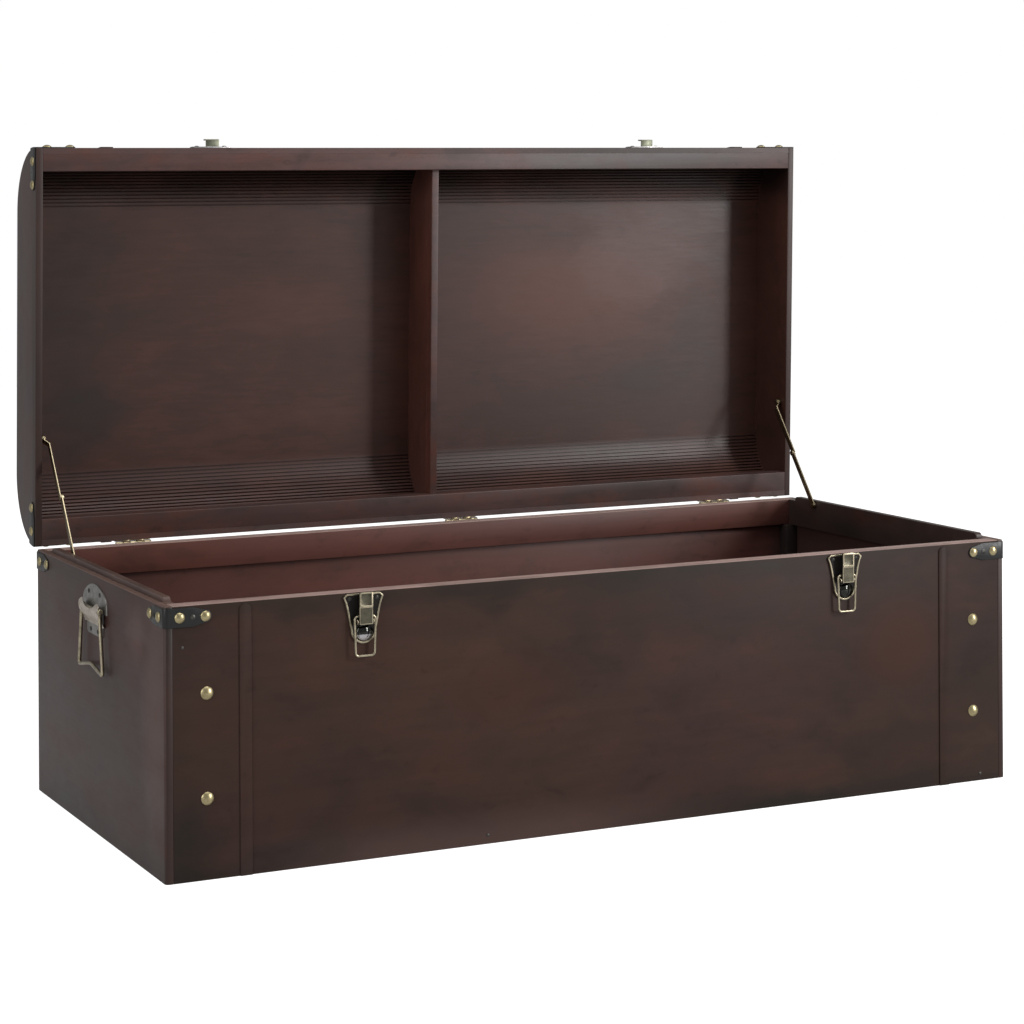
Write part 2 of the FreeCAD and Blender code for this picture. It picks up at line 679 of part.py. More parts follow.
def make_nails():
    nail = make_nail("bracket_nail", size("nail_radius"), size("nail_rise"))
    front_nail = make_nail("large_nail", size("front_nail_radius"), size("front_nail_rise"))
    first = size("nail_first").value
    last = (size("bracket_leg") - size("bracket_tip_radius")).value
    thick = size("bracket_thick").value
    middle = (size("bracket_height") / 2).value
    x_end, y_end = half_length.value, half_depth.value
    height = box_height.value - size("bracket_below_top").value - middle
    above = size("bracket_below_top").value + middle
    box_spots = []
    lid_spots = []
    for along in (first, last):
        for x in (-1, 1):
            for y in (-1, 1):
                box_spots.append(facing(x * (x_end - along), y * (y_end + thick), height, (0, y, 0)))
                box_spots.append(facing(x * (x_end + thick), y * (y_end - along), height, (x, 0, 0)))
                lid_spots.append(on_lid_face(x * (x_end - along), y, above, thick))
                lid_spots.append(facing(x * (x_end + thick), y * (y_end - along), rim.value + above,
                                        (x, 0, 0)))
    group("box_nails", nail, box_spots)
    open_lid_piece(group("lid_nails", nail, lid_spots))
    inset = x_end - size("front_nail_from_end").value
    group("front_nails", front_nail,
          [facing(x * inset, -y_end, z, (0, -1, 0)) for x in (-1, 1)
           for z in (size("front_nail_low").value, size("front_nail_high").value)])


# Latch: shield plate with a raised rim and two ears; the lever turns on a pin and the bail hangs in it.
latch_top = box_height - size("latch_below_top")
pivot_z = box_height - size("pivot_below_top")
pivot_stand = size("pivot_stand")


# The latches stand evenly about a line a little left of the middle.
def latch_x(side):
    return (half_length - size("latch_from_end")) * side - size("latch_left_of_middle")


def latch_outline(inset):
    half, corner = size("latch_half_width") - inset, size("latch_corner") - inset
    waist, lobe = size("latch_waist_half") - inset, size("latch_lobe_radius") - inset
    top = latch_top - inset
    shoulder = latch_top - size("latch_corner")
    waist_z = latch_top - size("latch_waist_drop")
    lobe_z = latch_top - size("latch_lobe_drop")
    curve = size("latch_curve") + inset
    return [(-waist, waist_z), (-lobe, lobe_z), (0, lobe_z - lobe, lobe, 1), (lobe, lobe_z, lobe, 1),
            (waist, waist_z), (half, shoulder, curve, -1), (half - corner, top, corner, 1),
            (corner - half, top), (-half, shoulder, corner, 1), (-waist, waist_z, curve, -1)][1:]


def make_latch_plates():
    thick, rim_rise, rim_width = size("latch_plate_thick"), size("latch_rim_rise"), size("latch_rim_width")
    ear, gap, ear_radius = size("ear_thick"), size("ear_gap"), size("ear_radius")
    pin, play = size("pivot_pin_radius"), size("pin_clearance")
    lever_half = size("lever_half_width")
    face = half_depth + thick
    for label, side in (("left_latch_plate", -1), ("right_latch_plate", 1)):
        body = piece(label)
        add_slab(body, "XZ_Plane", half_depth, thick + rim_rise, latch_outline(sized(0)))
        cut_slab(body, "XZ_Plane", face, rim_rise, latch_outline(rim_width))
        dish_z = pivot_z - size("latch_dish_below_pivot")
        cut_disc(body, "XZ_Plane", face - size("latch_dish_depth"), size("latch_dish_depth") + rim_rise,
                 0, dish_z, size("latch_dish_radius"))
        tip = -half_depth - pivot_stand
        ear_outline = [(-face + thick / 2, pivot_z - ear_radius), (-face + thick / 2, pivot_z + ear_radius),
                       (tip, pivot_z + ear_radius), (tip - ear_radius, pivot_z, ear_radius, 1),
                       (tip, pivot_z - ear_radius, ear_radius, 1)]
        for start in (lever_half + gap, -lever_half - gap - ear):
            add_slab(body, "YZ_Plane", start, ear, ear_outline)
        cut_disc(body, "YZ_Plane", -lever_half - gap - ear * 2, (lever_half + gap + ear * 2) * 2,
                 tip, pivot_z, pin + play)
        move_body(body, latch_x(side))


def make_latch_pins():
    body = pattern_piece("latch_pin")
    reach = size("lever_half_width") + size("ear_gap") + size("ear_thick")
    pin, head = size("pivot_pin_radius"), size("ear_gap")
    add_disc(body, "YZ_Plane", -reach - head, (reach + head) * 2, -half_depth - pivot_stand, pivot_z, pin)
    group("latch_pins", body.Shape, [Placement(Vector(latch_x(side).value, 0, 0), Rotation()) for side in (-1, 1)])


def make_levers():
    half, sheet_thick, stand = size("lever_half_width"), size("lever_sheet"), size("lever_stand")
    play, pin = size("pin_clearance"), size("pivot_pin_radius")
    axis = half_depth + pivot_stand
    web_in = axis + stand
    top = pivot_z + size("lever_up")
    bottom = pivot_z - size("lever_down")
    tab, extra, tab_rim = size("tab_length"), size("tab_extra"), size("tab_rim")
    for label, side in (("left_latch_lever", -1), ("right_latch_lever", 1)):
        body = piece(label)
        add_slab(body, "XZ_Plane", web_in, sheet_thick, rectangle(-half, bottom, half, top - tab / 2))
        corner = tab_rim
        add_slab(body, "XZ_Plane", web_in - extra, sheet_thick + extra * 2,
                 [(-half, top - tab), (half, top - tab), (half, top - corner),
                  (half - corner, top, corner, 1), (corner - half, top), (-half, top - corner, corner, 1)])
        cut_slab(body, "XZ_Plane", web_in + sheet_thick + extra - size("tab_recess"), size("tab_recess"),
                 rectangle(tab_rim - half, top - tab + tab_rim, half - tab_rim, top - tab_rim))
        flange_low = axis - size("lever_flange_in")
        for start in (-half, half - sheet_thick):
            add_slab(body, "YZ_Plane", start, sheet_thick,
                     rectangle(-web_in - sheet_thick / 2, bottom, -flange_low,
                               pivot_z + size("lever_flange_up")))
        cut_disc(body, "YZ_Plane", -half * 2, half * 4, -axis, pivot_z, pin + play)
        cut_disc(body, "YZ_Plane", -half * 2, half * 4, -axis, pivot_z + size("bail_offset"),
                 size("bail_wire_radius") + size("bail_play"))
        move_body(body, latch_x(side))


def make_bails():
    wire = size("bail_wire_radius").value
    y = -(half_depth + pivot_stand).value
    top = (pivot_z + size("bail_offset")).value
    low = top - size("bail_reach").value
    wide, narrow = size("bail_half_width").value, size("bail_end_half_width").value
    corners = [Vector(-wide, y, top), Vector(-narrow, y, low), Vector(narrow, y, low), Vector(wide, y, top)]
    shape = wire_loop(corners, wire, [size("bail_corner").value] * 4)
    for label, side in (("left_latch_bail", -1), ("right_latch_bail", 1)):
        feature = doc.addObject("Part::Feature", label)
        feature.Label = label
        feature.Shape = shape
        feature.Placement = Placement(Vector(latch_x(side).value, 0, 0), Rotation())
        parts.append(feature)


# Catch on the lid: a plate that hugs the rounded edge, and a hook whose arm the closed bail pulls down on.
def make_catches():
    thick, stand, sheet_thick = size("catch_thick"), size("hook_stand"), size("hook_sheet")
    half, hook_half = size("catch_half_width"), size("hook_half_width")
    low = rim + size("catch_edge_gap")
    high = low + size("catch_height")
    rise = high - bend_start
    outer_bend = lid_bend + thick
    inner_y = half_depth - lid_bend + root(lid_bend * lid_bend - rise * rise)
    outer_y = half_depth - lid_bend + root(outer_bend * outer_bend - rise * rise)
    hug = [(-half_depth, low), (-half_depth, bend_start), (-inner_y, high, lid_bend, -1), (-outer_y, high),
           (-half_depth - thick, bend_start, outer_bend, 1), (-half_depth - thick, low)]
    # the closed bail's bar rests just above the hook's arm
    swing = size("lever_swing")
    bar_z = pivot_z + size("bail_offset") * cosine(swing) + size("bail_reach")
    arm_top = bar_z - size("bail_wire_radius") - size("hook_clearance")
    arm_low = arm_top - sheet_thick
    front = -half_depth - stand
    hook = [(-half_depth, arm_low), (-half_depth, arm_top), (front + sheet_thick, arm_top),
            (front + sheet_thick, arm_low + size("hook_lip")), (front, arm_low + size("hook_lip")),
            (front, arm_low)]
    for label, side in (("left_lid_catch", -1), ("right_lid_catch", 1)):
        body = piece(label)
        add_slab(body, "YZ_Plane", -half, half * 2, hug)
        add_slab(body, "YZ_Plane", -hook_half, hook_half * 2, hook)
        round_edges(body, sheet_thick / 3, lambda edge: near(edge.BoundBox.YMin, front.value)
                    and near(edge.BoundBox.YMax, front.value))
        open_lid_piece(body, latch_x(side))


# Handle: plate with a round lobe and a tongue, a clip over the ring's bar, and the wire ring.
handle_z = box_height - size("handle_below_top")
handle_stand = size("handle_stand")


def make_handle_plates():
    thick = size("handle_plate_thick")
    lobe, top, corner, crown = (size(name) for name in ("lobe_half", "lobe_top", "lobe_round", "lobe_crown"))
    tongue, drop, tongue_round = size("tongue_half"), size("tongue_drop"), size("tongue_round")
    lift = root((crown - corner) * (crown - corner) - (lobe - corner) * (lobe - corner))
    side_z = handle_z + top - crown + lift
    join_y = (lobe - corner) * crown / (crown - corner)
    join_z = handle_z + top - crown + lift * crown / (crown - corner)
    bottom, step = handle_z - drop, handle_z - size("lobe_bottom")
    outline = [(tongue, step), (lobe, step), (lobe, side_z), (join_y, join_z, corner, 1),
               (-join_y, join_z, crown, 1), (-lobe, side_z, corner, 1), (-lobe, step), (-tongue, step),
               (-tongue, bottom + tongue_round), (tongue_round - tongue, bottom, tongue_round, 1),
               (tongue - tongue_round, bottom), (tongue, bottom + tongue_round, tongue_round, 1)]
    for label, side in (("left_handle_plate", -1), ("right_handle_plate", 1)):
        body = piece(label)
        add_slab(body, "YZ_Plane", half_length if side > 0 else -half_length - thick, thick, outline)
        outer = (half_length + thick).value * side
        round_edges(body, thick / 3, lambda edge: near(edge.BoundBox.XMin, outer)
                    and near(edge.BoundBox.XMax, outer))


def make_handle_clips():
    thick, clip_sheet, half = size("handle_plate_thick"), size("clip_sheet"), size("clip_half")
    wire, play = size("ring_wire_radius"), size("ring_play")
    axis = half_length + handle_stand
    shell = wire + play + clip_sheet
    base = half_length + thick
    for label, side in (("left_handle_clip", -1), ("right_handle_clip", 1)):
        body = piece(label)
        near_x, far_x = sorted((base * side, (base + clip_sheet) * side), key=lambda item: item.value)
        add_slab(body, "XZ_Plane", -half, half * 2,
                 rectangle(near_x, handle_z - size("clip_below"), far_x, handle_z + size("clip_above")))
        near_x, far_x = sorted((base * side, axis * side), key=lambda item: item.value)
        add_slab(body, "XZ_Plane", -half, half * 2,
                 rectangle(near_x, handle_z - shell, far_x, handle_z + shell))
        add_disc(body, "XZ_Plane", -half, half * 2, axis * side, handle_z, shell)
        cut_disc(body, "XZ_Plane", -half * 2, half * 4, axis * side, handle_z, wire + play)


def make_rings():
    wire, knob = size("ring_wire_radius").value, size("knob_radius").value
    top, bottom = size("ring_half_top").value, size("ring_half_bottom").value
    high = handle_z.value
    low = high - size("ring_drop").value
    peak = low + size("ring_peak").value
    bend = size("ring_corner").value
    corners = [Vector(0, -top, high), Vector(0, -bottom, low), Vector(0, 0, peak), Vector(0, bottom, low),
               Vector(0, top, high)]
    shape = wire_loop(corners, wire, [bend, bend, bend * 2, bend, bend])
    for end in (-top, top):
        shape = shape.fuse(Part.makeSphere(knob, Vector(0, end, high)))
    for label, side in (("left_handle_ring", -1), ("right_handle_ring", 1)):
        feature = doc.addObject("Part::Feature", label)
        feature.Label = label
        feature.Shape = shape.removeSplitter()
        feature.Placement = Placement(Vector(side * (half_length + handle_stand).value, 0, 0), Rotation())
        parts.append(feature)


# Hinges: five knuckles on one pin, three on the box leaf and two on the lid leaf.
def make_hinges():
    width, gap, knuckle = size("hinge_width"), size("knuckle_gap"), size("knuckle_radius")
    pin, play, thick = size("hinge_pin_radius"), size("pin_clearance"), size("leaf_thick")
    share = width / 5
    middles = (("left", size("hinge_from_end") - half_length), ("middle", size("hinge_right_of_middle")),
               ("right", half_length - size("hinge_from_end")))
    for name, middle in middles:
        low_x = middle - width / 2
        body = piece(f"{name}_hinge_box_leaf")
        foot = hinge_z - size("box_leaf_height")
        add_slab(body, "YZ_Plane", low_x, width,
                 rectangle(half_depth, foot, half_depth + thick, hinge_z - knuckle))
        for number in (0, 2, 4):
            start = low_x + share * number
            add_slab(body, "YZ_Plane", start, share - gap,
                     rectangle(half_depth, hinge_z - knuckle - thick / 2, half_depth + thick, hinge_z))
            add_slab(body, "YZ_Plane", start, share - gap,
                     rectangle(half_depth + thick / 2, hinge_z - knuckle, hinge_y, hinge_z - knuckle + thick))
            add_disc(body, "YZ_Plane", start, share - gap, hinge_y, hinge_z, knuckle)
        cut_disc(body, "YZ_Plane", low_x - gap, width + gap * 2, hinge_y, hinge_z, pin + play)
        body = piece(f"{name}_hinge_lid_leaf")
        top = rim + size("lid_leaf_height")
        add_slab(body, "YZ_Plane", low_x, width,
                 rectangle(half_depth, rim + knuckle / 2, half_depth + thick, top))
        for number in (1, 3):
            start = low_x + share * number
            add_slab(body, "YZ_Plane", start, share - gap,
                     rectangle(half_depth, hinge_z + knuckle / 2, half_depth + thick, rim + knuckle))
            add_slab(body, "YZ_Plane", start, share - gap,
                     rectangle(half_depth + thick / 2, hinge_z + knuckle - thick, hinge_y, hinge_z + knuckle))
            add_disc(body, "YZ_Plane", start, share - gap, hinge_y, hinge_z, knuckle)
        cut_disc(body, "YZ_Plane", low_x - gap, width + gap * 2, hinge_y, hinge_z, pin + play)
        open_lid_piece(body)
    rod = pattern_piece("hinge_rod")
    add_disc(rod, "YZ_Plane", -width / 2, width, hinge_y, hinge_z, pin)
    group("hinge_pins", rod.Shape,
          [Placement(Vector(middle.value, 0, 0), Rotation()) for _, middle in middles])


# Folding stays: the lower arm turns on the side rail, the upper arm on the lid's end board.
stay_foot = (half_depth - size("stay_foot_from_rear"),
             box_height + size("lip_rise") - size("stay_foot_below_lip"))
stay_head = (half_depth - size("stay_head_from_rear"), rim + size("stay_head_rise"))
stay_head_open = turn_open(stay_head)
stay_arm = length(stay_foot, stay_head_open) / 2
stay_lean = direction(stay_head_open[1] - stay_foot[1], stay_head_open[0] - stay_foot[0])


def arm_outline(start, end):
    half = size("stay_half_width")
    return [(-half, end), (-half, start), (0, start - half, half, 1), (half, start, half, 1), (half, end),
            (0, end + half, half, 1), (-half, end, half, 1)][1:]


def place_arm(body, spot):
    body.Placement = Placement(Vector(), Rotation(Vector(1, 0, 0), 1))
    body.setExpression(".Placement.Rotation.Angle", (stay_lean - 90).formula)
    move_body(body, 0, spot[0], spot[1])


def make_stays():
    half, thick, gap = size("stay_half_width"), size("stay_thick"), size("stay_gap")
    boss, pin, play = size("stay_boss_radius"), size("stay_pin_radius"), size("pin_clearance")
    head_thick = size("stay_head_thick")
    rail_face = half_length - wall - size("side_rail_thick")
    board_face = half_length - size("lid_wall")
    upper_face = rail_face - size("stay_wall_gap")
    lower_face = upper_face - thick - gap
    eye_face = board_face - size("stay_head_gap")
    start, end = size("joggle_start"), size("joggle_end")

    def layer(side, outer, depth):
        # start of a layer that reaches inward by depth from outer, on the left or right end
        return -outer if side < 0 else outer - depth

    for name, side in (("left", -1), ("right", 1)):
        body = piece(f"{name}_lower_stay")
        steps = arm_outline(sized(0), stay_arm)
        add_slab(body, "YZ_Plane", layer(side, lower_face, thick), thick, steps)
        add_disc(body, "YZ_Plane", layer(side, lower_face - thick / 2, head_thick + thick / 2),
                 head_thick + thick / 2, 0, stay_arm, boss)
        cut_disc(body, "YZ_Plane", layer(side, lower_face + thick, thick * 3), thick * 3, 0, 0, pin + play)
        place_arm(body, stay_foot)
        body = piece(f"{name}_upper_stay")
        inner_end = layer(side, upper_face, thick)
        eye_start = layer(side, eye_face, thick)
        add_slab(body, "YZ_Plane", inner_end, thick,
                 [(half, -end), (-half, -end), (-half, -stay_arm), (0, -stay_arm - half, half, 1),
                  (half, -stay_arm, half, 1)])
        add_slab(body, "YZ_Plane", eye_start, thick,
                 [(-half, -start), (half, -start), (half, 0), (0, half, half, 1), (-half, 0, half, 1)])
        # the offset bend between the two layers, drawn edge on
        slope = [(eye_start, -start), (inner_end, -end), (inner_end + thick, -end),
                 (eye_start + thick, -start)]
        add_slab(body, "XZ_Plane", -half, half * 2, slope)
        cut_disc(body, "YZ_Plane", layer(side, eye_face + thick, thick * 3), thick * 3, 0, 0, pin + play)
        place_arm(body, stay_head_open)
        # studs: a washer against the wood, a waist that the arm turns on, and a head
        for label, face, gap_in, spot in ((f"{name}_rail_stud", rail_face, rail_face - lower_face, stay_foot),
                                          (f"{name}_lid_stud", board_face, board_face - eye_face, stay_head)):
            clear = size("stay_wall_gap") / 4
            body = piece(label)
            washer = gap_in - clear
            add_disc(body, "YZ_Plane", layer(side, face, washer), washer, spot[0], spot[1], boss)
            waist = thick + clear * 2
            add_disc(body, "YZ_Plane", layer(side, face - washer, waist), waist, spot[0], spot[1], pin)
            add_disc(body, "YZ_Plane", layer(side, face - gap_in - thick - clear, head_thick), head_thick,
                     spot[0], spot[1], boss)
            if spot is stay_head:
                open_lid_piece(body)


def make_screws():
    screw = make_screw()
    x_end, y_end = half_length.value, half_depth.value
    plate = y_end + size("latch_plate_thick").value
    spots = []
    lid_spots = []
    top_z = latch_top.value - size("latch_corner").value - size("screw_radius").value / 2
    dish_z = (pivot_z - size("latch_dish_below_pivot")).value
    for side in (-1, 1):
        latch = latch_x(side).value
        for x in (-size("latch_screw_half").value, size("latch_screw_half").value):
            spots.append(facing(latch + x, -plate, top_z, (0, -1, 0)))
        spots.append(facing(latch, -plate + size("latch_dish_depth").value, dish_z, (0, -1, 0)))
        catch_above = size("catch_edge_gap").value + size("catch_height").value / 2
        for x in (-size("catch_screw_half").value, size("catch_screw_half").value):
            lid_spots.append(on_lid_face(latch + x, -1, catch_above, size("catch_thick").value))
        face = side * (x_end + size("handle_plate_thick").value)
        for half, height in (("lobe_screw_half", size("lobe_screw_rise")),
                             ("tongue_screw_half", -size("tongue_screw_drop"))):
            for y in (-size(half).value, size(half).value):
                spots.append(facing(face, y, (handle_z + height).value, (side, 0, 0)))
    leaf = y_end + size("leaf_thick").value
    for middle in ((size("hinge_from_end") - half_length).value, size("hinge_right_of_middle").value,
                   (half_length - size("hinge_from_end")).value):
        for x in (-size("hinge_width").value * 0.3, size("hinge_width").value * 0.3):
            spots.append(facing(middle + x, leaf, (hinge_z - size("box_leaf_height") * 0.6).value, (0, 1, 0)))
            lid_spots.append(facing(middle + x, leaf, (rim + size("lid_leaf_height") * 0.6).value, (0, 1, 0)))
    thick = size("bracket_thick").value
    between = (size("nail_first").value + (size("bracket_leg") - size("bracket_tip_radius")).value) / 2
    middle_z = (box_height - size("bracket_below_top") - size("bracket_height") / 2).value
    for x in (-1, 1):
        for y in (-1, 1):
            spots.append(facing(x * (x_end - between), y * (y_end + thick), middle_z, (0, y, 0)))
            spots.append(facing(x * (x_end + thick), y * (y_end - between), middle_z, (x, 0, 0)))
    group("box_screws", screw, spots)
    open_lid_piece(group("lid_screws", screw, lid_spots))


make_box()
make_rails()
make_posts()
make_box_battens()
make_lid_ends()
make_lid_top()
make_lid_rails()
make_divider()
make_lid_battens()
make_box_brackets()
make_lid_brackets()
make_nails()
make_latch_plates()
make_latch_pins()
make_levers()
make_bails()
make_catches()
make_handle_plates()
make_handle_clips()
make_rings()
make_hinges()
make_stays()
make_screws()
doc.recompute()

failed = [item.Label for item in doc.Objects if "Invalid" in item.State or "Error" in item.State]
if failed:
    raise ValueError(f"these objects failed: {failed}")
for part in parts:
    if part.Shape.isNull() or not part.Shape.isValid():
        raise ValueError(f"{part.Label} has no valid shape")

closed_foot_to_head = length(stay_foot, stay_head)
fold = corner_angle(closed_foot_to_head / 2, stay_arm)
closed_lean = direction(stay_head[1] - stay_foot[1], stay_head[0] - stay_foot[0])
print("lid hinge", hinge_y.value, hinge_z.value, "stay foot", [item.value for item in stay_foot],
      "head open", [item.value for item in stay_head_open], "arm", stay_arm.value)
print("lower arm swing", (closed_lean + fold - stay_lean).value,
      "upper arm swing on the lid", (closed_lean - fold - stay_lean).value - open_angle.value)
print("latch pivot", latch_x(-1).value, latch_x(1).value, -(half_depth + pivot_stand).value, pivot_z.value)
print("ring pivot", (half_length + handle_stand).value, handle_z.value)

os.makedirs("parts", exist_ok=True)
for part in parts:
    part.Shape.exportStep(f"parts/{part.Label}.step")
print(len(parts), "parts")
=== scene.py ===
import json
import math

import bmesh
import bpy
from mathutils import Matrix, Vector

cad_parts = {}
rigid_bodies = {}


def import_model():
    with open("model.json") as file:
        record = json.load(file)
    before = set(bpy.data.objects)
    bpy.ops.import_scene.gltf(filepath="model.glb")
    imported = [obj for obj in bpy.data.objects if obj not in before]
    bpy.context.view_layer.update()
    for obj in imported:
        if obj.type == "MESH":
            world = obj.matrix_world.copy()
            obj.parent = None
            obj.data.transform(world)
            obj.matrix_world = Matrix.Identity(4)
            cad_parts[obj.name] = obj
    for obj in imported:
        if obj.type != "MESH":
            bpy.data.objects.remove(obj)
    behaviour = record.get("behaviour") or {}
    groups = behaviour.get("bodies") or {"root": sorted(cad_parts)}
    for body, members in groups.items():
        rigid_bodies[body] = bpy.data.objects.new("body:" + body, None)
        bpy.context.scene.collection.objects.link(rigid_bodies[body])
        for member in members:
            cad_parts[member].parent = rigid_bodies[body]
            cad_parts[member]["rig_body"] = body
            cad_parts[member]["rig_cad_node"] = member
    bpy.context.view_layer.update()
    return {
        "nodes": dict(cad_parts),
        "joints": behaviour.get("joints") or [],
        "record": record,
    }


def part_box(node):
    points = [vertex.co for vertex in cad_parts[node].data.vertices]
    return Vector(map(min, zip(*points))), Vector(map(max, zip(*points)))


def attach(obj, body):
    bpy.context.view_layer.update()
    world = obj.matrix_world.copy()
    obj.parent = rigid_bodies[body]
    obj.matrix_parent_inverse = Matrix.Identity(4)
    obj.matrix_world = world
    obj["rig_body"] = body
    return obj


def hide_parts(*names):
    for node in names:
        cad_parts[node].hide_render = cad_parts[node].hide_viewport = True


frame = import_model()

print("frame loaded")

# Camera, worked out from the corners of the trunk in the photograph
view = {
    "place": (-1.5721, -3.19485, 0.82579), "turn": 26.008, "tilt": -0.041, "roll": -0.321,
    "lens": 92.02, "rise": -0.326,
}


def makeCamera():
    bpy.ops.object.camera_add(location=view["place"])
    camera = bpy.context.object
    camera.name = "photoCamera"
    camera.data.lens = view["lens"]
    camera.data.sensor_width = 36
    camera.data.shift_y = view["rise"]
    camera.data.clip_start = 0.05
    turned = Matrix.Rotation(math.radians(-view["turn"]), 4, "Z")
    tilted = Matrix.Rotation(math.radians(90 + view["tilt"]), 4, "X")
    rolled = Matrix.Rotation(math.radians(view["roll"]), 4, "Z")
    camera.matrix_world = Matrix.Translation(view["place"]) @ turned @ tilted @ rolled
    bpy.context.scene.camera = camera


makeCamera()
bpy.context.scene.view_settings.view_transform = "Standard"
print("camera placed")

# Sizes read from the frame, in metres
boxLow = Vector((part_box("left_panel")[0].x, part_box("left_panel")[0].y, 0))
boxHigh = Vector((-boxLow.x, -boxLow.y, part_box("left_panel")[1].z))
lidJoint = next(joint for joint in frame["joints"] if joint["name"] == "lid_hinge")
hingeLine = Vector(lidJoint["pos_m"])
openAngle = math.radians(lidJoint["range_deg"][1])
openTurn = Matrix.Translation(hingeLine) @ Matrix.Rotation(-openAngle, 4, "X") @ Matrix.Translation(-hingeLine)
closeTurn = openTurn.inverted()
nodeBody = {node: body for body, nodes in frame["record"]["behaviour"]["bodies"].items() for node in nodes}


def closedBox(node):
    # a lid node's box with the lid shut
    points = [closeTurn @ vertex.co for vertex in frame["nodes"][node].data.vertices]
    low = Vector([min(point[axis] for point in points) for axis in range(3)])
    high = Vector([max(point[axis] for point in points) for axis in range(3)])
    return low, high


lidLow, lidHigh = closedBox("lid_left_end")
lidShape = {"bend": 0.090, "skin": 0.008, "step": 2.2, "endSteps": 40}
# the lines that the two bends turn about: out from the middle and up
bendOut = lidHigh.y - lidShape["bend"]
bendUp = lidHigh.z - lidShape["bend"]


# Shader maths: a wire is one value in a material's node tree
class Wire:
    def __init__(self, paint, socket):
        self.paint = paint
        self.socket = socket

    def __add__(self, other):
        return self.paint.maths("ADD", self, other)

    def __sub__(self, other):
        return self.paint.maths("SUBTRACT", self, other)

    def __mul__(self, other):
        return self.paint.maths("MULTIPLY", self, other)

    def __radd__(self, other):
        return self.paint.maths("ADD", other, self)

    def __rsub__(self, other):
        return self.paint.maths("SUBTRACT", other, self)

    def __rmul__(self, other):
        return self.paint.maths("MULTIPLY", other, self)

    def __abs__(self):
        return self.paint.maths("ABSOLUTE", self)

    def clamped(self):
        return self.paint.maths("ADD", self, 0, clamp=True)

    def least(self, other):
        return self.paint.maths("MINIMUM", self, other)

    def most(self, other):
        return self.paint.maths("MAXIMUM", self, other)

    def rise(self, low, high):
        # 0 below low, 1 above high, smooth between; low may be the larger one
        settings = {"interpolation_type": "SMOOTHSTEP"}
        inputs = {"Value": self, "From Min": min(low, high), "From Max": max(low, high)}
        step = self.paint.add("ShaderNodeMapRange", settings, inputs)
        return step if low < high else 1 - step


class Paint:
    # one material and the calls that add to its node tree
    def __init__(self, name, onLid=False):
        self.material = bpy.data.materials.new(name)
        self.material.use_nodes = True
        self.tree = self.material.node_tree
        self.shader = self.tree.nodes["Principled BSDF"]
        place = self.add("ShaderNodeTexCoord", out="Object")
        if onLid:
            turn = closeTurn.to_euler()
            place = self.add("ShaderNodeMapping", {"vector_type": "POINT"},
                             {"Vector": place, "Location": closeTurn.translation, "Rotation": turn})
        self.place = place
        parts = self.tree.nodes.new("ShaderNodeSeparateXYZ")
        self.feed(parts.inputs[0], place)
        self.x, self.y, self.z = (Wire(self, parts.outputs[axis]) for axis in range(3))

    def feed(self, socket, value):
        if isinstance(value, Wire):
            self.tree.links.new(value.socket, socket)
        elif isinstance(value, (tuple, list)) and len(value) == 3 and socket.type == "RGBA":
            socket.default_value = (*value, 1)
        else:
            socket.default_value = value

    def add(self, kind, settings=None, inputs=None, out=0):
        node = self.tree.nodes.new(kind)
        for key, value in (settings or {}).items():
            setattr(node, key, value)
        for key, value in (inputs or {}).items():
            self.feed(node.inputs[key], value)
        return Wire(self, node.outputs[out])

    def maths(self, operation, first, second=None, clamp=False):
        inputs = {0: first} if second is None else {0: first, 1: second}
        return self.add("ShaderNodeMath", {"operation": operation, "use_clamp": clamp}, inputs)

    def mix(self, share, first, second, blend="MIX"):
        settings = {"data_type": "RGBA", "blend_type": blend}
        return self.add("ShaderNodeMix", settings, {0: share, 6: first, 7: second}, out=2)

    def stretched(self, along, across, up):
        return self.add("ShaderNodeVectorMath", {"operation": "MULTIPLY"},
                        {0: self.place, 1: (along, across, up)})

    def noise(self, scale, detail=3, rough=0.55, twist=0, at=None, seed=0):
        settings = {"noise_dimensions": "4D"}
        inputs = {"Vector": at or self.place, "W": seed, "Scale": scale, "Detail": detail,
                  "Roughness": rough, "Distortion": twist}
        return self.add("ShaderNodeTexNoise", settings, inputs)

    def finish(self, color, rough, bump=None, height=0.0005, **fixed):
        self.feed(self.shader.inputs["Base Color"], color)
        self.feed(self.shader.inputs["Roughness"], rough)
        for key, value in fixed.items():
            self.feed(self.shader.inputs[key.replace("_", " ")], value)
        if bump is not None:
            normal = self.add("ShaderNodeBump", {}, {"Height": bump, "Distance": height, "Strength": 1})
            self.feed(self.shader.inputs["Normal"], normal)
        return self.material


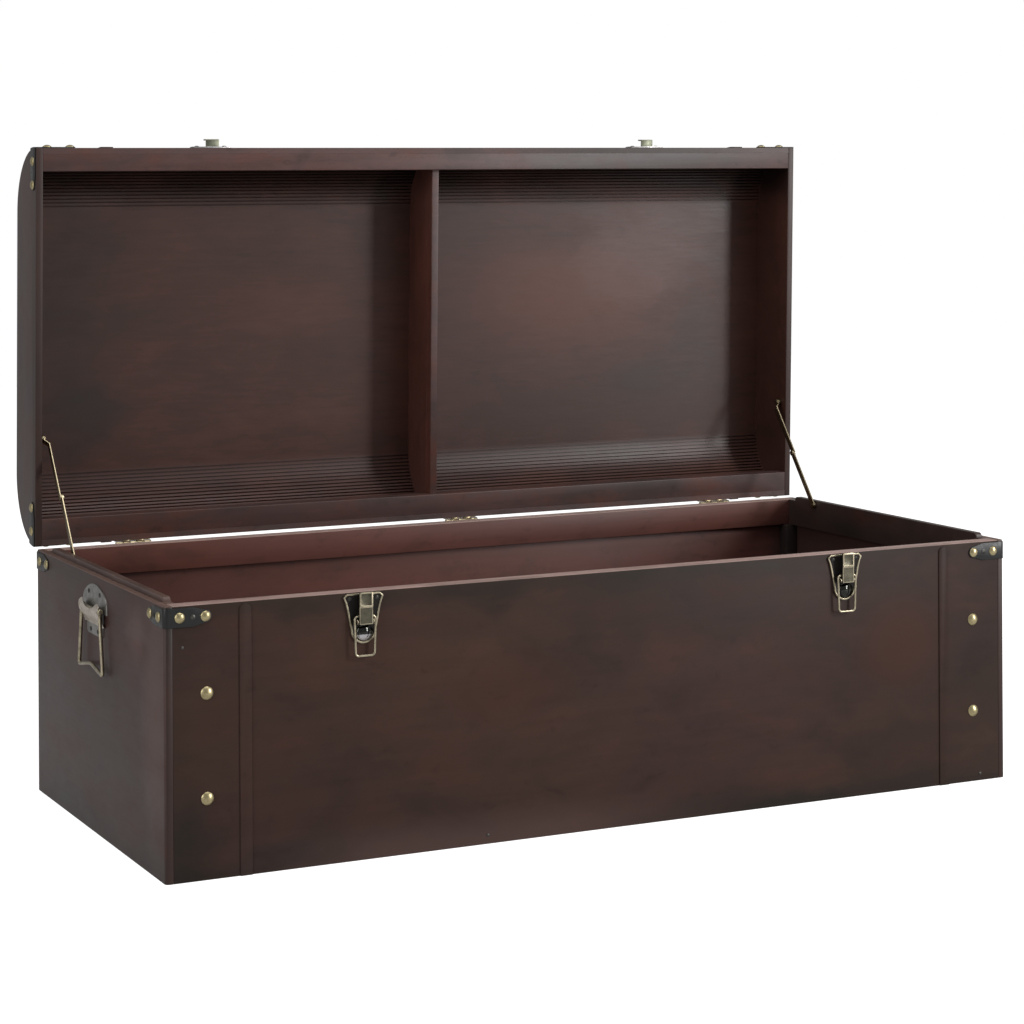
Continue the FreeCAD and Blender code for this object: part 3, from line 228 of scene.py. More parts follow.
# Stained veneer: clouds of brown, mauve and green-black wiped along the board, small mottles and a faint grain, with
# some patches of painted light and shade
stain = {
    "brown": (0.0440, 0.0198, 0.0138), "deep": (0.0325, 0.0150, 0.0115), "plum": (0.0360, 0.0162, 0.0158),
    "rust": (0.0580, 0.0200, 0.0130), "moss": (0.0215, 0.0180, 0.0152), "edge": (0.0190, 0.0145, 0.0125),
    "frontBrown": (0.0500, 0.0275, 0.0212), "frontDeep": (0.0390, 0.0232, 0.0190),
    "frontRust": (0.0640, 0.0285, 0.0205), "frontPlum": (0.0430, 0.0245, 0.0230),
    "bayBrown": (0.0850, 0.0268, 0.0170), "bayDeep": (0.0560, 0.0192, 0.0135), "bayRust": (0.1060, 0.0350, 0.0225),
    "bayCool": (0.0600, 0.0228, 0.0165),
    "lip": (0.1000, 0.0590, 0.0480), "lipDark": (0.0560, 0.0340, 0.0280),
    "red": (0.0990, 0.0372, 0.0288), "redShade": (0.0820, 0.0320, 0.0260),
    "rail": (0.0780, 0.0390, 0.0350), "railDark": (0.0440, 0.0250, 0.0225), "pale": (0.1150, 0.0700, 0.0620),
    "rim": (0.3100, 0.2150, 0.1900), "rimEnd": (0.1150, 0.0700, 0.0570), "gap": (0.0100, 0.0060, 0.0050),
}


def drawn(across, along, length):
    scales = [across, across, across]
    scales[length] = along
    return scales


def stained(name, tones, length=0, seed=0, onLid=False, edges=(), rough=0.44, sheen=0.26, rim=None,
            depth=1.0, streaky=0.10, paintedFloorSheen=None, stainAndPaintedLightPatches=(), edgeTone="moss", lit=0.0, short=1.0):
    paint = Paint(name, onLid)
    base, shade, warm, cool = (stain[tone] for tone in tones)
    wiped = paint.stretched(*drawn(1.0, 0.55, length))
    broad = paint.noise(5.2, detail=3, rough=0.55, twist=0.4, at=wiped, seed=seed)
    turn = paint.noise(3.6, detail=2, rough=0.5, at=wiped, seed=seed + 21)
    patch = paint.noise(17, detail=4, rough=0.65, twist=0.6, at=wiped, seed=seed + 4)
    mottle = paint.noise(52, detail=4, rough=0.68, twist=0.5, at=wiped, seed=seed + 7)
    grain = paint.noise(1, detail=4, rough=0.62, twist=0.5, at=paint.stretched(*drawn(58, 4.5 * short, length)),
                        seed=seed + 9)
    fine = paint.noise(1, detail=2, rough=0.6, at=paint.stretched(*drawn(260, 11 * short, length)), seed=seed + 13)
    color = paint.mix(broad.rise(0.36, 0.64), shade, base)
    color = paint.mix(turn.rise(0.42, 0.66) * 0.60, color, cool)
    color = paint.mix(patch.rise(0.46, 0.70) * 0.50 * depth, color, warm)
    color = paint.mix(patch.rise(0.50, 0.30) * 0.40 * depth, color, stain["edge"])
    color = paint.mix(mottle.rise(0.40, 0.66) * 0.26 * depth, color, shade)
    color = paint.mix(mottle.rise(0.44, 0.28) * 0.30 * depth, color, stain["gap"])
    streak = grain.rise(0.42, 0.70) * streaky + fine.rise(0.46, 0.74) * streaky * 0.6
    color = paint.mix(streak, color, stain["gap"])
    if lit:
        # wavy lines of open grain, dark and pale by turns, and pale lines between the fine dark ones
        wave = paint.noise(1, detail=3, rough=0.6, twist=1.6, at=paint.stretched(*drawn(95, 9, length)),
                           seed=seed + 17)
        color = paint.mix(wave.rise(0.52, 0.66) * lit * 3.2, color, stain["edge"])
        pale = fine.rise(0.52, 0.30) * 0.6 + grain.rise(0.50, 0.32) * 0.4 + wave.rise(0.48, 0.36) * 0.9
        color = paint.mix((pale * lit).clamped(), color, stain["pale"])
    wander = (broad - 0.5) * 0.10 + (patch - 0.5) * 0.05
    low, high = (lidLow, lidHigh) if onLid else (boxLow, boxHigh)
    dark = None
    for axis, reach, power in edges:
        # the dark spray gathers along the board's edges, the ends of the named axis
        place = (paint.x, paint.y, paint.z)[axis]
        near = (place - low[axis]).least(high[axis] - place) + wander
        shadow = near.rise(reach, 0.0) * power
        dark = shadow if dark is None else dark.most(shadow)
    if dark is not None:
        color = paint.mix(dark.clamped(), color, stain[edgeTone])
    for across, up, wide, tall, tone, power in stainAndPaintedLightPatches:
        # a patch of another tone, with a ragged soft edge; some patches are wiped stain and some are painted light
        # and shade
        offAcross = ((paint.y if length == 1 else paint.x) - across) * (1 / wide)
        offUp = ((paint.y if onLid and length == 0 else paint.z) - up) * (1 / tall)
        ragged = (patch - 0.5) * 1.3 + (broad - 0.5) * 0.9
        far = paint.maths("SQRT", offAcross * offAcross + offUp * offUp) + ragged
        color = paint.mix(far.rise(1.15, 0.25) * power, color, stain[tone])
    if paintedFloorSheen:
        # painted reflection: a paler band along the foot of the board's left part, standing in for the floor's sheen
        along = (paint.x + (patch - 0.5) * 0.15).rise(-0.56, -0.30) * (paint.x + (turn - 0.5) * 0.2).rise(0.20, -0.15)
        color = paint.mix(paint.z.rise(0.055, 0.0) * along * paintedFloorSheen, color, stain["pale"])
    if rim:
        # the thin top edge of the boards, where the stain is rubbed back
        top = paint.z.rise(boxHigh.z - 0.0010, boxHigh.z - 0.0004)
        rubbed = patch.rise(0.30, 0.62) * 0.35 + 0.60
        color = paint.mix(top * rubbed, color, stain[rim])
    gloss = rough + (patch - 0.5) * 0.14 + (turn - 0.5) * 0.12 + (mottle - 0.5) * 0.08 + (fine - 0.5) * 0.05
    bump = grain * 0.5 + fine * 0.25 + mottle * 0.25
    return paint.finish(color, gloss, bump, 0.00022, Specular_IOR_Level=sheen)


# Metals: brass with a brown-green patina, dull bronze and black painted iron
metalTone = {
    "brass": (0.40, 0.35, 0.25), "brassOld": (0.110, 0.095, 0.065),
    "olive": (0.105, 0.096, 0.070), "oliveOld": (0.040, 0.037, 0.027),
    "nail": (0.42, 0.355, 0.20), "nailOld": (0.15, 0.125, 0.065),
    "strip": (0.230, 0.185, 0.110), "stripOld": (0.090, 0.072, 0.044),
    "stripEdge": (0.450, 0.380, 0.250), "stripEdgeOld": (0.200, 0.165, 0.105),
    "bronze": (0.275, 0.268, 0.255), "bronzeOld": (0.130, 0.127, 0.120),
    "clip": (0.560, 0.500, 0.430), "clipOld": (0.290, 0.255, 0.210),
    "catch": (0.128, 0.132, 0.098), "catchOld": (0.062, 0.064, 0.048),
    "plate": (0.380, 0.365, 0.365), "plateOld": (0.210, 0.203, 0.203),
    "pit": (0.0130, 0.0105, 0.0080), "pitOld": (0.0060, 0.0052, 0.0042),
    "dark": (0.090, 0.086, 0.078), "darkOld": (0.030, 0.030, 0.028),
    "iron": (0.0056, 0.0064, 0.0057), "ironOld": (0.0032, 0.0036, 0.0032),
}


capShade = {"left": -0.3478, "right": 0.3422, "up": 0.2752, "radius": 0.0112, "height": 0.0054,
            "black": (0.0300, 0.0300, 0.0300), "olive": (0.0620, 0.0620, 0.0500), "worn": (0.4800, 0.4600, 0.4800),
            "wornOld": (0.2600, 0.2500, 0.2400)}


def blackCap(name):
    # a low black cap that shines like a full round one; the left cap's foot has a painted reflection of the floor, a
    # pale crescent
    paint = Paint(name)
    across = abs(paint.x - capShade["left"]).least(abs(paint.x - capShade["right"])) * (1 / capShade["radius"])
    up = (paint.z - capShade["up"]) * (1 / capShade["radius"])
    dome = paint.maths("SQRT", (1 - (across * across + up * up)).most(0.0) + 0.01)
    patches = paint.noise(420, detail=3, seed=3)
    color = paint.mix(patches.rise(0.45, 0.62) * 0.6, capShade["black"], capShade["olive"])
    # painted reflection: the lower part of the left cap is painted pale and rougher
    worn = (up + (patches - 0.5) * 0.10).rise(-0.14, -0.24) * paint.x.rise(0.1, -0.1)
    bright = paint.mix(patches.rise(0.40, 0.66) * 0.5, capShade["worn"], capShade["wornOld"])
    color = paint.mix(worn, color, bright)
    return paint.finish(color, 0.08 + worn * 0.16, dome, capShade["height"], Metallic=1.0)


def metal(name, tone, rough, tarnish=0.5, scale=90, metallic=1.0, onLid=False, sheen=0.5):
    paint = Paint(name, onLid)
    patches = paint.noise(scale, detail=4, rough=0.62, twist=0.3)
    spots = paint.noise(scale * 3.4, detail=3, rough=0.6, seed=8)
    fine = paint.noise(scale * 9, detail=2, seed=5)
    shade = (patches.rise(0.36, 0.66) * 0.7 + spots.rise(0.48, 0.66) * 0.5).clamped() * tarnish
    mixed = paint.mix(shade, metalTone[tone], metalTone[f"{tone}Old"])
    roughness = rough + shade * 0.20 + (fine - 0.5) * 0.10
    return paint.finish(mixed, roughness, fine * 0.5 + patches * 0.5, 0.00008, Metallic=metallic,
                        Specular_IOR_Level=sheen)


# each kind of board's tones: base, shade, warm and cool
outside = ("brown", "deep", "rust", "plum")
# the front's tones are the outside tones made lighter and greyer: painted sheen, in place of the reflection that the
# front's low Specular level takes off
outsideFront = ("frontBrown", "frontDeep", "frontRust", "frontPlum")
inLid = ("bayBrown", "bayDeep", "bayRust", "bayCool")
inBox = ("red", "redShade", "red", "bayBrown")
# patches of another tone, some wiped stain and some painted light and shade: place across and up, half width and half
# height, tone, strength
frontStainAndPaintedShadePatches = [(-0.575, 0.04, 0.05, 0.06, "moss", 0.6), (0.27, 0.0, 0.10, 0.022, "moss", 0.7),
                (0.05, 0.31, 0.20, 0.03, "moss", 0.35), (0.12, 0.29, 0.48, 0.08, "edge", 0.28),
                # The edge patches at (0.47, 0.13) and (0.43, 0.30) are painted shade on the front's right, dimming
                # the sheen lamp's light and reflection there.
                (0.47, 0.13, 0.22, 0.24, "edge", 0.26), (0.43, 0.20, 0.07, 0.07, "rust", 0.35),
                (-0.16, 0.19, 0.10, 0.06, "rust", 0.22), (0.43, 0.30, 0.17, 0.040, "edge", 0.38)]
endSmudges = [(0.25, 0.14, 0.035, 0.16, "moss", 0.5), (0.10, 0.02, 0.16, 0.03, "moss", 0.5),
              (-0.05, 0.20, 0.09, 0.05, "moss", 0.35), (-0.235, 0.22, 0.055, 0.20, "pale", 0.36),
              (-0.165, 0.28, 0.055, 0.050, "pale", 0.40)]
# The first patch is painted shadow of the lid's front rail over the top kerfs, and the second is painted shade over
# the lower part of the right bay.
bayStainAndPaintedLightPatches = [(0.0, -0.250, 4.0, 0.070, "gap", 0.85), (0.30, 0.14, 0.36, 0.07, "deep", 0.68),
              (0.415, 0.085, 0.10, 0.030, "moss", 0.45),
              (-0.50, 0.11, 0.07, 0.06, "edge", 0.50), (-0.54, -0.02, 0.09, 0.24, "edge", 0.48),
              (-0.50, -0.195, 0.07, 0.02, "pale", 0.15), (-0.20, -0.04, 0.13, 0.06, "bayRust", 0.16),
              # The bayRust patch at (0.26, -0.05) is painted light on the right bay, and the pale patch at (0.38,
              # -0.11) is a painted highlight in its upper right.
              (0.26, -0.05, 0.22, 0.11, "bayRust", 0.50), (0.38, -0.11, 0.14, 0.10, "pale", 0.36),
              (-0.42, -0.03, 0.08, 0.04, "edge", 0.30), (0.48, 0.03, 0.05, 0.10, "edge", 0.40)]
finish = {
    # the front board has a painted floor reflection along its foot
    "front": stained("frontStain", outsideFront, 0, 0, edges=[(0, 0.11, 0.35), (2, 0.035, 0.55)], sheen=0.06,
                     depth=0.75, rim="rim", paintedFloorSheen=0.5, stainAndPaintedLightPatches=frontStainAndPaintedShadePatches),
    "end": stained("endStain", outside, 1, 31, edges=[(2, 0.04, 0.35)], rim="rimEnd", stainAndPaintedLightPatches=endSmudges),
    "edgeGrain": stained("edgeGrainStain", ("deep", "edge", "brown", "deep"), 2, 43, rim="rimEnd"),
    "lidOut": stained("lidStain", outside, 0, 52, True, edges=[(0, 0.05, 0.35)]),
    "lidEnd": stained("lidEndStain", outside, 1, 67, True, edges=[(1, 0.05, 0.3), (2, 0.03, 0.3)]),
    "bay": stained("lidInsideStain", inLid, 0, 83, True, edges=[(0, 0.21, 0.62), (1, 0.05, 0.3)], rough=0.38,
                   sheen=0.27, streaky=0.26, stainAndPaintedLightPatches=bayStainAndPaintedLightPatches, edgeTone="deep", lit=0.12, short=2.6, depth=1.4),
    "divider": stained("dividerStain", ("bayBrown", "red", "bayRust", "bayDeep"), 2, 89, rough=0.40, sheen=0.3,
                       streaky=0.16),
    "lidRail": stained("lidRailStain", ("rail", "railDark", "bayBrown", "moss"), 0, 97, True, rough=0.42, sheen=0.30,
                       streaky=0.20, depth=1.4),
    # the corner posts are painted near-black, as painted shade of the box's right inner corner
    "post": stained("postStain", ("edge", "gap", "moss", "edge"), 2, 171, rough=0.46, sheen=0.2),
    # the inside's patch at the right end is painted shade in the box's right inner corner
    "inside": stained("insideStain", inBox, 0, 113, rough=0.46, sheen=0.2,
                      stainAndPaintedLightPatches=[(0.590, 0.20, 0.048, 0.60, "edge", 0.72)]),
    "railTop": stained("railStain", inBox, 0, 131, rim="rim", rough=0.46, sheen=0.2),
    # the left lip is painted lighter as painted light on its top, and the right lip darker as painted shade on its
    # inner face
    "leftLip": stained("leftLipStain", ("lip", "lipDark", "lip", "lipDark"), 1, 149, rough=0.40, sheen=0.3),
    "rightLip": stained("rightLipStain", ("lipDark", "edge", "bayDeep", "edge"), 1, 157, rough=0.40, sheen=0.3),
    "brass": metal("antiqueBrass", "brass", 0.30, 0.65),
    "olive": metal("darkBrass", "olive", 0.36, 0.75, 120),
    "nail": metal("nailBrass", "nail", 0.31, 0.55, 140),
    "strip": metal("stayBrass", "strip", 0.30, 0.6),
    "stripEdge": metal("stayEdge", "stripEdge", 0.26, 0.4),
    "bronze": metal("darkBronze", "bronze", 0.38, 0.6),
    "clip": metal("wornClip", "clip", 0.36, 0.7, 70),
    "pit": metal("blackPatina", "pit", 0.42, 0.7, metallic=0.0, sheen=0.16),
    "cap": blackCap("blackCap"),
    "catchPlate": metal("catchPlate", "plate", 0.36, 0.4),
    "catch": metal("catchBrass", "catch", 0.38, 0.6, 70),
    "dark": metal("darkScrew", "dark", 0.42, 0.7),
    "iron": metal("blackIron", "iron", 0.34, 0.7, 60, metallic=0.0, sheen=0.34),
}
print("materials made")


# Modelling by hand: one piece is taken at a time, and its corners, edges or faces are chosen by place
def rest():
    if bpy.context.object is not None and bpy.context.object.mode != "OBJECT":
        bpy.ops.object.mode_set(mode="OBJECT")
    bpy.ops.object.select_all(action="DESELECT")


def take(thing):
    rest()
    thing.select_set(True)
    bpy.context.view_layer.objects.active = thing
    return thing


def edit(thing):
    take(thing)
    bpy.ops.object.mode_set(mode="EDIT")
    bpy.ops.mesh.select_mode(type="VERT")
    bpy.ops.mesh.select_all(action="DESELECT")


def choose(kind, test):
    bpy.ops.mesh.select_mode(type=kind)
    bpy.ops.mesh.select_all(action="DESELECT")
    mesh = bpy.context.object.data
    shape = bmesh.from_edit_mesh(mesh)
    items = {"VERT": shape.verts, "EDGE": shape.edges, "FACE": shape.faces}[kind]
    for item in items:
        if test(item):
            item.select_set(True)
    shape.select_flush_mode()
    bmesh.update_edit_mesh(mesh)


def close(first, second):
    return abs(first - second) < 0.00005


def edgeAt(edge, **place):
    # an edge whose two corners lie at the given x, y or z
    return all(close(getattr(corner.co, axis), value) for corner in edge.verts for axis, value in place.items())


def modify(thing, kind, **settings):
    take(thing)
    modifier = thing.modifiers.new(kind.lower(), kind)
    for key, value in settings.items():
        setattr(modifier, key, value)
    bpy.ops.object.modifier_apply(modifier=modifier.name)


def soften(thing, width, segments=2, angle=30):
    modify(thing, "BEVEL", width=width, segments=segments, limit_method="ANGLE", angle_limit=math.radians(angle))


def fix(thing):
    take(thing)
    bpy.ops.object.transform_apply(location=True, rotation=True, scale=True)


def openLid(thing):
    # a lid piece is modelled closed and then turned back with the lid
    fix(thing)
    thing.matrix_world = openTurn
    bpy.ops.object.transform_apply(location=True, rotation=True, scale=True)


def join(things):
    rest()
    for thing in things:
        thing.select_set(True)
    bpy.context.view_layer.objects.active = things[0]
    bpy.ops.object.join()
    return bpy.context.object


def twin(thing, matrix):
    copy = thing.copy()
    copy.data = thing.data.copy()
    bpy.context.scene.collection.objects.link(copy)
    copy.matrix_world = matrix
    fix(copy)
    return copy


def slab(low, high):
    rest()
    low, high = Vector(low), Vector(high)
    bpy.ops.mesh.primitive_cube_add(size=1, location=(low + high) / 2)
    thing = bpy.context.object
    thing.scale = high - low
    fix(thing)
    return thing


def turnOut(thing, rank, out):
    # the faces are made to agree, and turned over if the one ranked first looks away from out
    edit(thing)
    bpy.ops.mesh.select_all(action="SELECT")
    bpy.ops.mesh.normals_make_consistent(inside=False)
    rest()
    first = max(thing.data.polygons, key=rank)
    if first.normal.dot(Vector(out)) < 0:
        edit(thing)
        bpy.ops.mesh.select_all(action="SELECT")
        bpy.ops.mesh.flip_normals()
        rest()


def copyNode(node):
    # a merged copy of a CAD node's mesh, with its flat faces in one piece
    rest()
    source = frame["nodes"][node]
    thing = source.copy()
    thing.data = source.data.copy()
    thing.parent = None
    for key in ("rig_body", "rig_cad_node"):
        del thing[key]
    bpy.context.scene.collection.objects.link(thing)
    take(thing)
    bpy.ops.mesh.customdata_custom_splitnormals_clear()
    edit(thing)
    bpy.ops.mesh.select_all(action="SELECT")
    bpy.ops.mesh.remove_doubles(threshold=0.000002)
    bpy.ops.mesh.dissolve_limited(angle_limit=math.radians(0.4))
    rest()
    return thing


def settle(thing, name, nodes, looks, smooth=35):
    # smooth faces, own material, and the CAD body and nodes that the piece stands for
    fix(thing)
    bpy.ops.object.shade_smooth_by_angle(angle=math.radians(smooth))
    thing.name = thing.data.name = name
    thing.data.materials.clear()
    for look in looks:
        thing.data.materials.append(finish[look])
    for face in thing.data.polygons:
        face.material_index = 0
    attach(thing, nodeBody[nodes[0]])
    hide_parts(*nodes)
    return thing


def paintFaces(thing, index, test):
    for face in thing.data.polygons:
        if test(face):
            face.material_index = index


board = {"soft": 0.0007, "corner": 0.005, "cornerSteps": 7, "post": 0.020, "postSoft": 0.0015}


def makeBoxBoards():
    for side, node, name in ((-1, "left_panel", "leftBoard"), (1, "right_panel", "rightBoard")):
        low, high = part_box(node)
        thing = slab(low, high)
        outer = low.x if side < 0 else high.x
        edit(thing)
        choose("EDGE", lambda edge: edgeAt(edge, x=outer, y=low.y) or edgeAt(edge, x=outer, y=high.y))
        bpy.ops.mesh.bevel(offset=board["corner"], segments=board["cornerSteps"], affect="EDGES")
        rest()
        soften(thing, board["soft"])
        settle(thing, name, [node], ["end", "inside", "edgeGrain"])
        paintFaces(thing, 2, lambda face: abs(face.normal.y) > 0.8)
    for node, name, look in (("front_panel", "frontBoard", "front"), ("back_panel", "backBoard", "front"),
                             ("floor_panel", "floorBoard", "inside"), ("front_rail", "frontRail", "railTop"),
                             ("rear_rail", "rearRail", "railTop")):
        thing = slab(*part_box(node))
        soften(thing, board["soft"])
        settle(thing, name, [node], [look, "inside"])
    # the panels' faces toward the inside are the redder stain
    for name, sign in (("frontBoard", 1), ("backBoard", -1)):
        paintFaces(bpy.data.objects[name], 1, lambda face: face.normal.y * sign > 0.7)
    low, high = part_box("corner_posts")
    across = board["post"]
    posts = []
    for x in (low.x, high.x - across):
        for y in (low.y, high.y - across):
            post = slab((x, y, low.z), (x + across, y + across, high.z))
            soften(post, board["postSoft"])
            posts.append(post)
    settle(join(posts), "cornerPosts", ["corner_posts"], ["post"])
    for side in ("left", "right"):
        thing = copyNode(f"{side}_side_rail")
        soften(thing, board["soft"] / 2)
        settle(thing, f"{side}LipRail", [f"{side}_side_rail"], [f"{side}Lip"])
    for name, sign in (("leftBoard", 1), ("rightBoard", -1)):
        paintFaces(bpy.data.objects[name], 1, lambda face: face.normal.x * sign > 0.7)


makeBoxBoards()
print("box boards made")

batten = {"soft": 0.0006, "thick": 0.0014, "shy": 0.0015, "steps": 10}


def makeBoxBattens():
    for node, name in (("front_left_batten", "frontLeftBatten"), ("front_right_batten", "frontRightBatten"),
                       ("rear_left_batten", "rearLeftBatten"), ("rear_right_batten", "rearRightBatten")):
        low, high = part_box(node)
        low.x, high.x = low.x + batten["shy"], high.x - batten["shy"]
        if low.y < 0:
            low.y = high.y - batten["thick"]
        else:
            high.y = low.y + batten["thick"]
        thing = slab(low, high)
        edit(thing)
        choose("EDGE", lambda edge: edgeAt(edge, z=high.z, x=low.x) or edgeAt(edge, z=high.z, x=high.x))
        bpy.ops.mesh.bevel(offset=(high.x - low.x) * 0.499, segments=batten["steps"], affect="EDGES")
        rest()
        soften(thing, batten["soft"], 3)
        settle(thing, name, [node], ["front"])


makeBoxBattens()
print("box battens made")

kerf = {"count": 22, "start": 9, "span": 76, "wide": 0.0022, "deep": 0.0034, "shy": 0.0003}


def lidSheet(lowX, highX, stand, stops):
    # the lid's flat crown, spun down round both bends and then drawn down to the rim
    crown = lidHigh.z + stand
    rest()
    bpy.ops.mesh.primitive_plane_add(size=1, location=((lowX + highX) / 2, 0, crown))
    thing = bpy.context.object
    thing.scale = (highX - lowX, bendOut * 2, 1)
    fix(thing)
    for side in (-1, 1):
        edit(thing)
        choose("EDGE", lambda edge: edgeAt(edge, y=side * bendOut, z=crown))
        before = 90
        for stop in stops:
            steps = max(1, round((before - stop) / lidShape["step"]))
            bpy.ops.mesh.spin(steps=steps, angle=math.radians(before - stop), dupli=False,
                              center=(0, side * bendOut, bendUp), axis=(side, 0, 0))
            before = stop
        bpy.ops.mesh.extrude_region_move(TRANSFORM_OT_translate={"value": (0, 0, lidLow.z - bendUp)})
    bpy.ops.mesh.select_all(action="SELECT")
    bpy.ops.mesh.remove_doubles(threshold=0.00001)
    turnOut(thing, lambda face: face.area, (0, 0, 1))
    return thing


def makeLidTop():
    inner = lidShape["bend"] - lidShape["skin"]
    centres = [kerf["start"] + kerf["span"] * number / (kerf["count"] - 1) for number in range(kerf["count"])]
    half = math.degrees((kerf["wide"] / 2 + kerf["shy"]) / inner)
    stops = [stop for centre in reversed(centres) for stop in (centre + half, centre - half)] + [0]
    reach = closedBox("lid_top")[1].x
    thing = lidSheet(-reach, reach, 0, stops)
    modify(thing, "SOLIDIFY", thickness=lidShape["skin"], offset=-1, use_even_offset=True)

    def onKerf(face):
        spot = face.calc_center_median()
        out, up = abs(spot.y) - bendOut, spot.z - bendUp
        angle = math.degrees(math.atan2(up, out))
        return (inner - 0.001 < math.hypot(out, up) < inner + 0.001 and abs(face.normal.x) < 0.5
                and min(abs(angle - centre) for centre in centres) < half / 2)

    edit(thing)
    choose("FACE", onKerf)
    bpy.ops.mesh.inset(thickness=kerf["shy"], depth=0, use_individual=True)
    bpy.ops.mesh.extrude_region_shrink_fatten(TRANSFORM_OT_shrink_fatten={"value": -kerf["deep"]})
    rest()
    openLid(thing)
    settle(thing, "lidShell", ["lid_top"], ["lidOut", "bay", "lidRail"])
    # everything that faces into the open lid, toward the front, is the inside stain
    for face in thing.data.polygons:
        spot = closeTurn @ face.center
        out, up = max(abs(spot.y) - bendOut, 0), max(spot.z - bendUp, 0)
        deep = math.hypot(out, up) if out > 0 else up
        inside = deep < lidShape["bend"] - 0.002 and abs(spot.x) < reach - 0.0001
        rim = spot.z < lidLow.z + 0.0001
        face.material_index = 2 if rim else 1 if inside else 0


def makeLidEnds():
    for side in ("left", "right"):
        node = f"lid_{side}_end"
        low, high = closedBox(node)
        thing = slab(low, high)
        edit(thing)
        choose("EDGE", lambda edge: edgeAt(edge, z=high.z, y=low.y) or edgeAt(edge, z=high.z, y=high.y))
        bpy.ops.mesh.bevel(offset=lidShape["bend"], segments=lidShape["endSteps"], affect="EDGES")
        rest()
        soften(thing, board["soft"], 3)
        openLid(thing)
        settle(thing, f"{side}LidEnd", [node], ["lidEnd", "bay"])
        sign = 1 if side == "left" else -1
        paintFaces(thing, 1, lambda face: face.normal.x * sign > 0.7)


def makeLidBattens():
    for side, node in (("left", "lid_left_batten"), ("right", "lid_right_batten")):
        low, high = closedBox(node)
        thing = lidSheet(low.x + batten["shy"], high.x - batten["shy"], batten["thick"], [0])
        modify(thing, "SOLIDIFY", thickness=batten["thick"], offset=-1, use_even_offset=True)
        soften(thing, batten["soft"], 3)
        openLid(thing)
        settle(thing, f"{side}LidBatten", [node], ["lidOut"])


def makeLidInside():
    for node, name, look in (("lid_front_rail", "lidFrontRail", "lidRail"),
                             ("lid_rear_rail", "lidRearRail", "lidRail"), ("lid_divider", "lidDivider", "divider")):
        thing = copyNode(node)
        soften(thing, board["soft"] / 2)
        settle(thing, name, [node], [look, "lidRail"])
        if node == "lid_divider":
            paintFaces(thing, 1, lambda face: face.normal.y < -0.8)


makeLidTop()
makeLidEnds()
makeLidBattens()
makeLidInside()
print("lid boards made")

nail = {
    "small": 0.0063, "smallRise": 0.0032, "large": 0.008, "largeRise": 0.004, "brim": 0.0005, "sides": 32,
    "rings": 7, "first": 0.0185, "last": 0.0505, "height": 0.311, "stand": 0.0013, "lidRise": 0.014,
    "frontIn": 0.052, "frontHeights": (0.096, 0.220),
}


def makeDome(radius, rise):
    # a disc with a thin brim, raised to a dome by small insets
    rest()
    bpy.ops.mesh.primitive_circle_add(vertices=nail["sides"], radius=radius, fill_type="NGON")
    thing = bpy.context.object
    crown = rise - nail["brim"]
    ball = (radius * radius + crown * crown) / (crown * 2)
    edit(thing)
    bpy.ops.mesh.select_all(action="SELECT")
    bpy.ops.mesh.extrude_region_move(TRANSFORM_OT_translate={"value": (0, 0, nail["brim"])})
    outer, height = radius, 0
    for ring in range(1, nail["rings"] + 1):
        inner = radius * math.cos(math.radians(86 * ring / nail["rings"]))
        climb = math.sqrt(ball * ball - inner * inner) - (ball - crown)
        bpy.ops.mesh.inset(thickness=outer - inner, depth=climb - height)
        outer, height = inner, climb
    bpy.ops.mesh.select_all(action="SELECT")
    bpy.ops.mesh.normals_make_consistent(inside=False)
    rest()
    return thing


def stood(place, out):
    # a matrix that stands a piece modelled on +z at a place, facing out
    return Matrix.Translation(place) @ Vector(out).to_track_quat("Z", "Y").to_matrix().to_4x4()


def makeNails():
    small = makeDome(nail["small"], nail["smallRise"])
    large = makeDome(nail["large"], nail["largeRise"])
    endX, endY, stand = boxHigh.x, boxHigh.y, nail["stand"]
    lean = math.asin((lidLow.z + nail["lidRise"] - bendUp) / lidShape["bend"])
    reach = lidShape["bend"] + stand
    lidY = endY - lidShape["bend"] + reach * math.cos(lean)
    lidZ = bendUp + reach * math.sin(lean)
    onBox, onLid = [], []
    for along in (nail["first"], nail["last"]):
        for x in (-1, 1):
            for y in (-1, 1):
                onBox.append(stood((x * (endX - along), y * (endY + stand), nail["height"]), (0, y, 0)))
                onBox.append(stood((x * (endX + stand), y * (endY - along), nail["height"]), (x, 0, 0)))
                onLid.append(stood((x * (endX - along), y * lidY, lidZ),
                                   (0, y * math.cos(lean), math.sin(lean))))
                onLid.append(stood((x * (endX + stand), y * (endY - along), lidLow.z + nail["lidRise"]),
                                   (x, 0, 0)))
    onFront = [stood((x * (endX - nail["frontIn"]), -endY, z), (0, -1, 0))
               for x in (-1, 1) for z in nail["frontHeights"]]
    settle(join([twin(small, place) for place in onBox]), "boxNails", ["box_nails"], ["nail"], 50)
    thing = join([twin(small, place) for place in onLid])
    openLid(thing)
    settle(thing, "lidNails", ["lid_nails"], ["nail"], 50)
    settle(join([twin(large, place) for place in onFront]), "frontNails", ["front_nails"], ["nail"], 50)
    for thing in (small, large):
        bpy.data.objects.remove(thing)


makeNails()
print("nails made")


fitting = {"soft": 0.0003, "bracketSoft": 0.0004, "hingeSoft": 0.0002}


def dress(node, name, looks, soft=fitting["soft"], smooth=35):
    thing = copyNode(node)
    if soft:
        soften(thing, soft)
    return settle(thing, name, [node], looks, smooth)


def makeBrackets():
    dress("box_brackets", "boxBrackets", ["iron"], fitting["bracketSoft"])
    dress("lid_brackets", "lidBrackets", ["iron"], fitting["bracketSoft"])


makeBrackets()

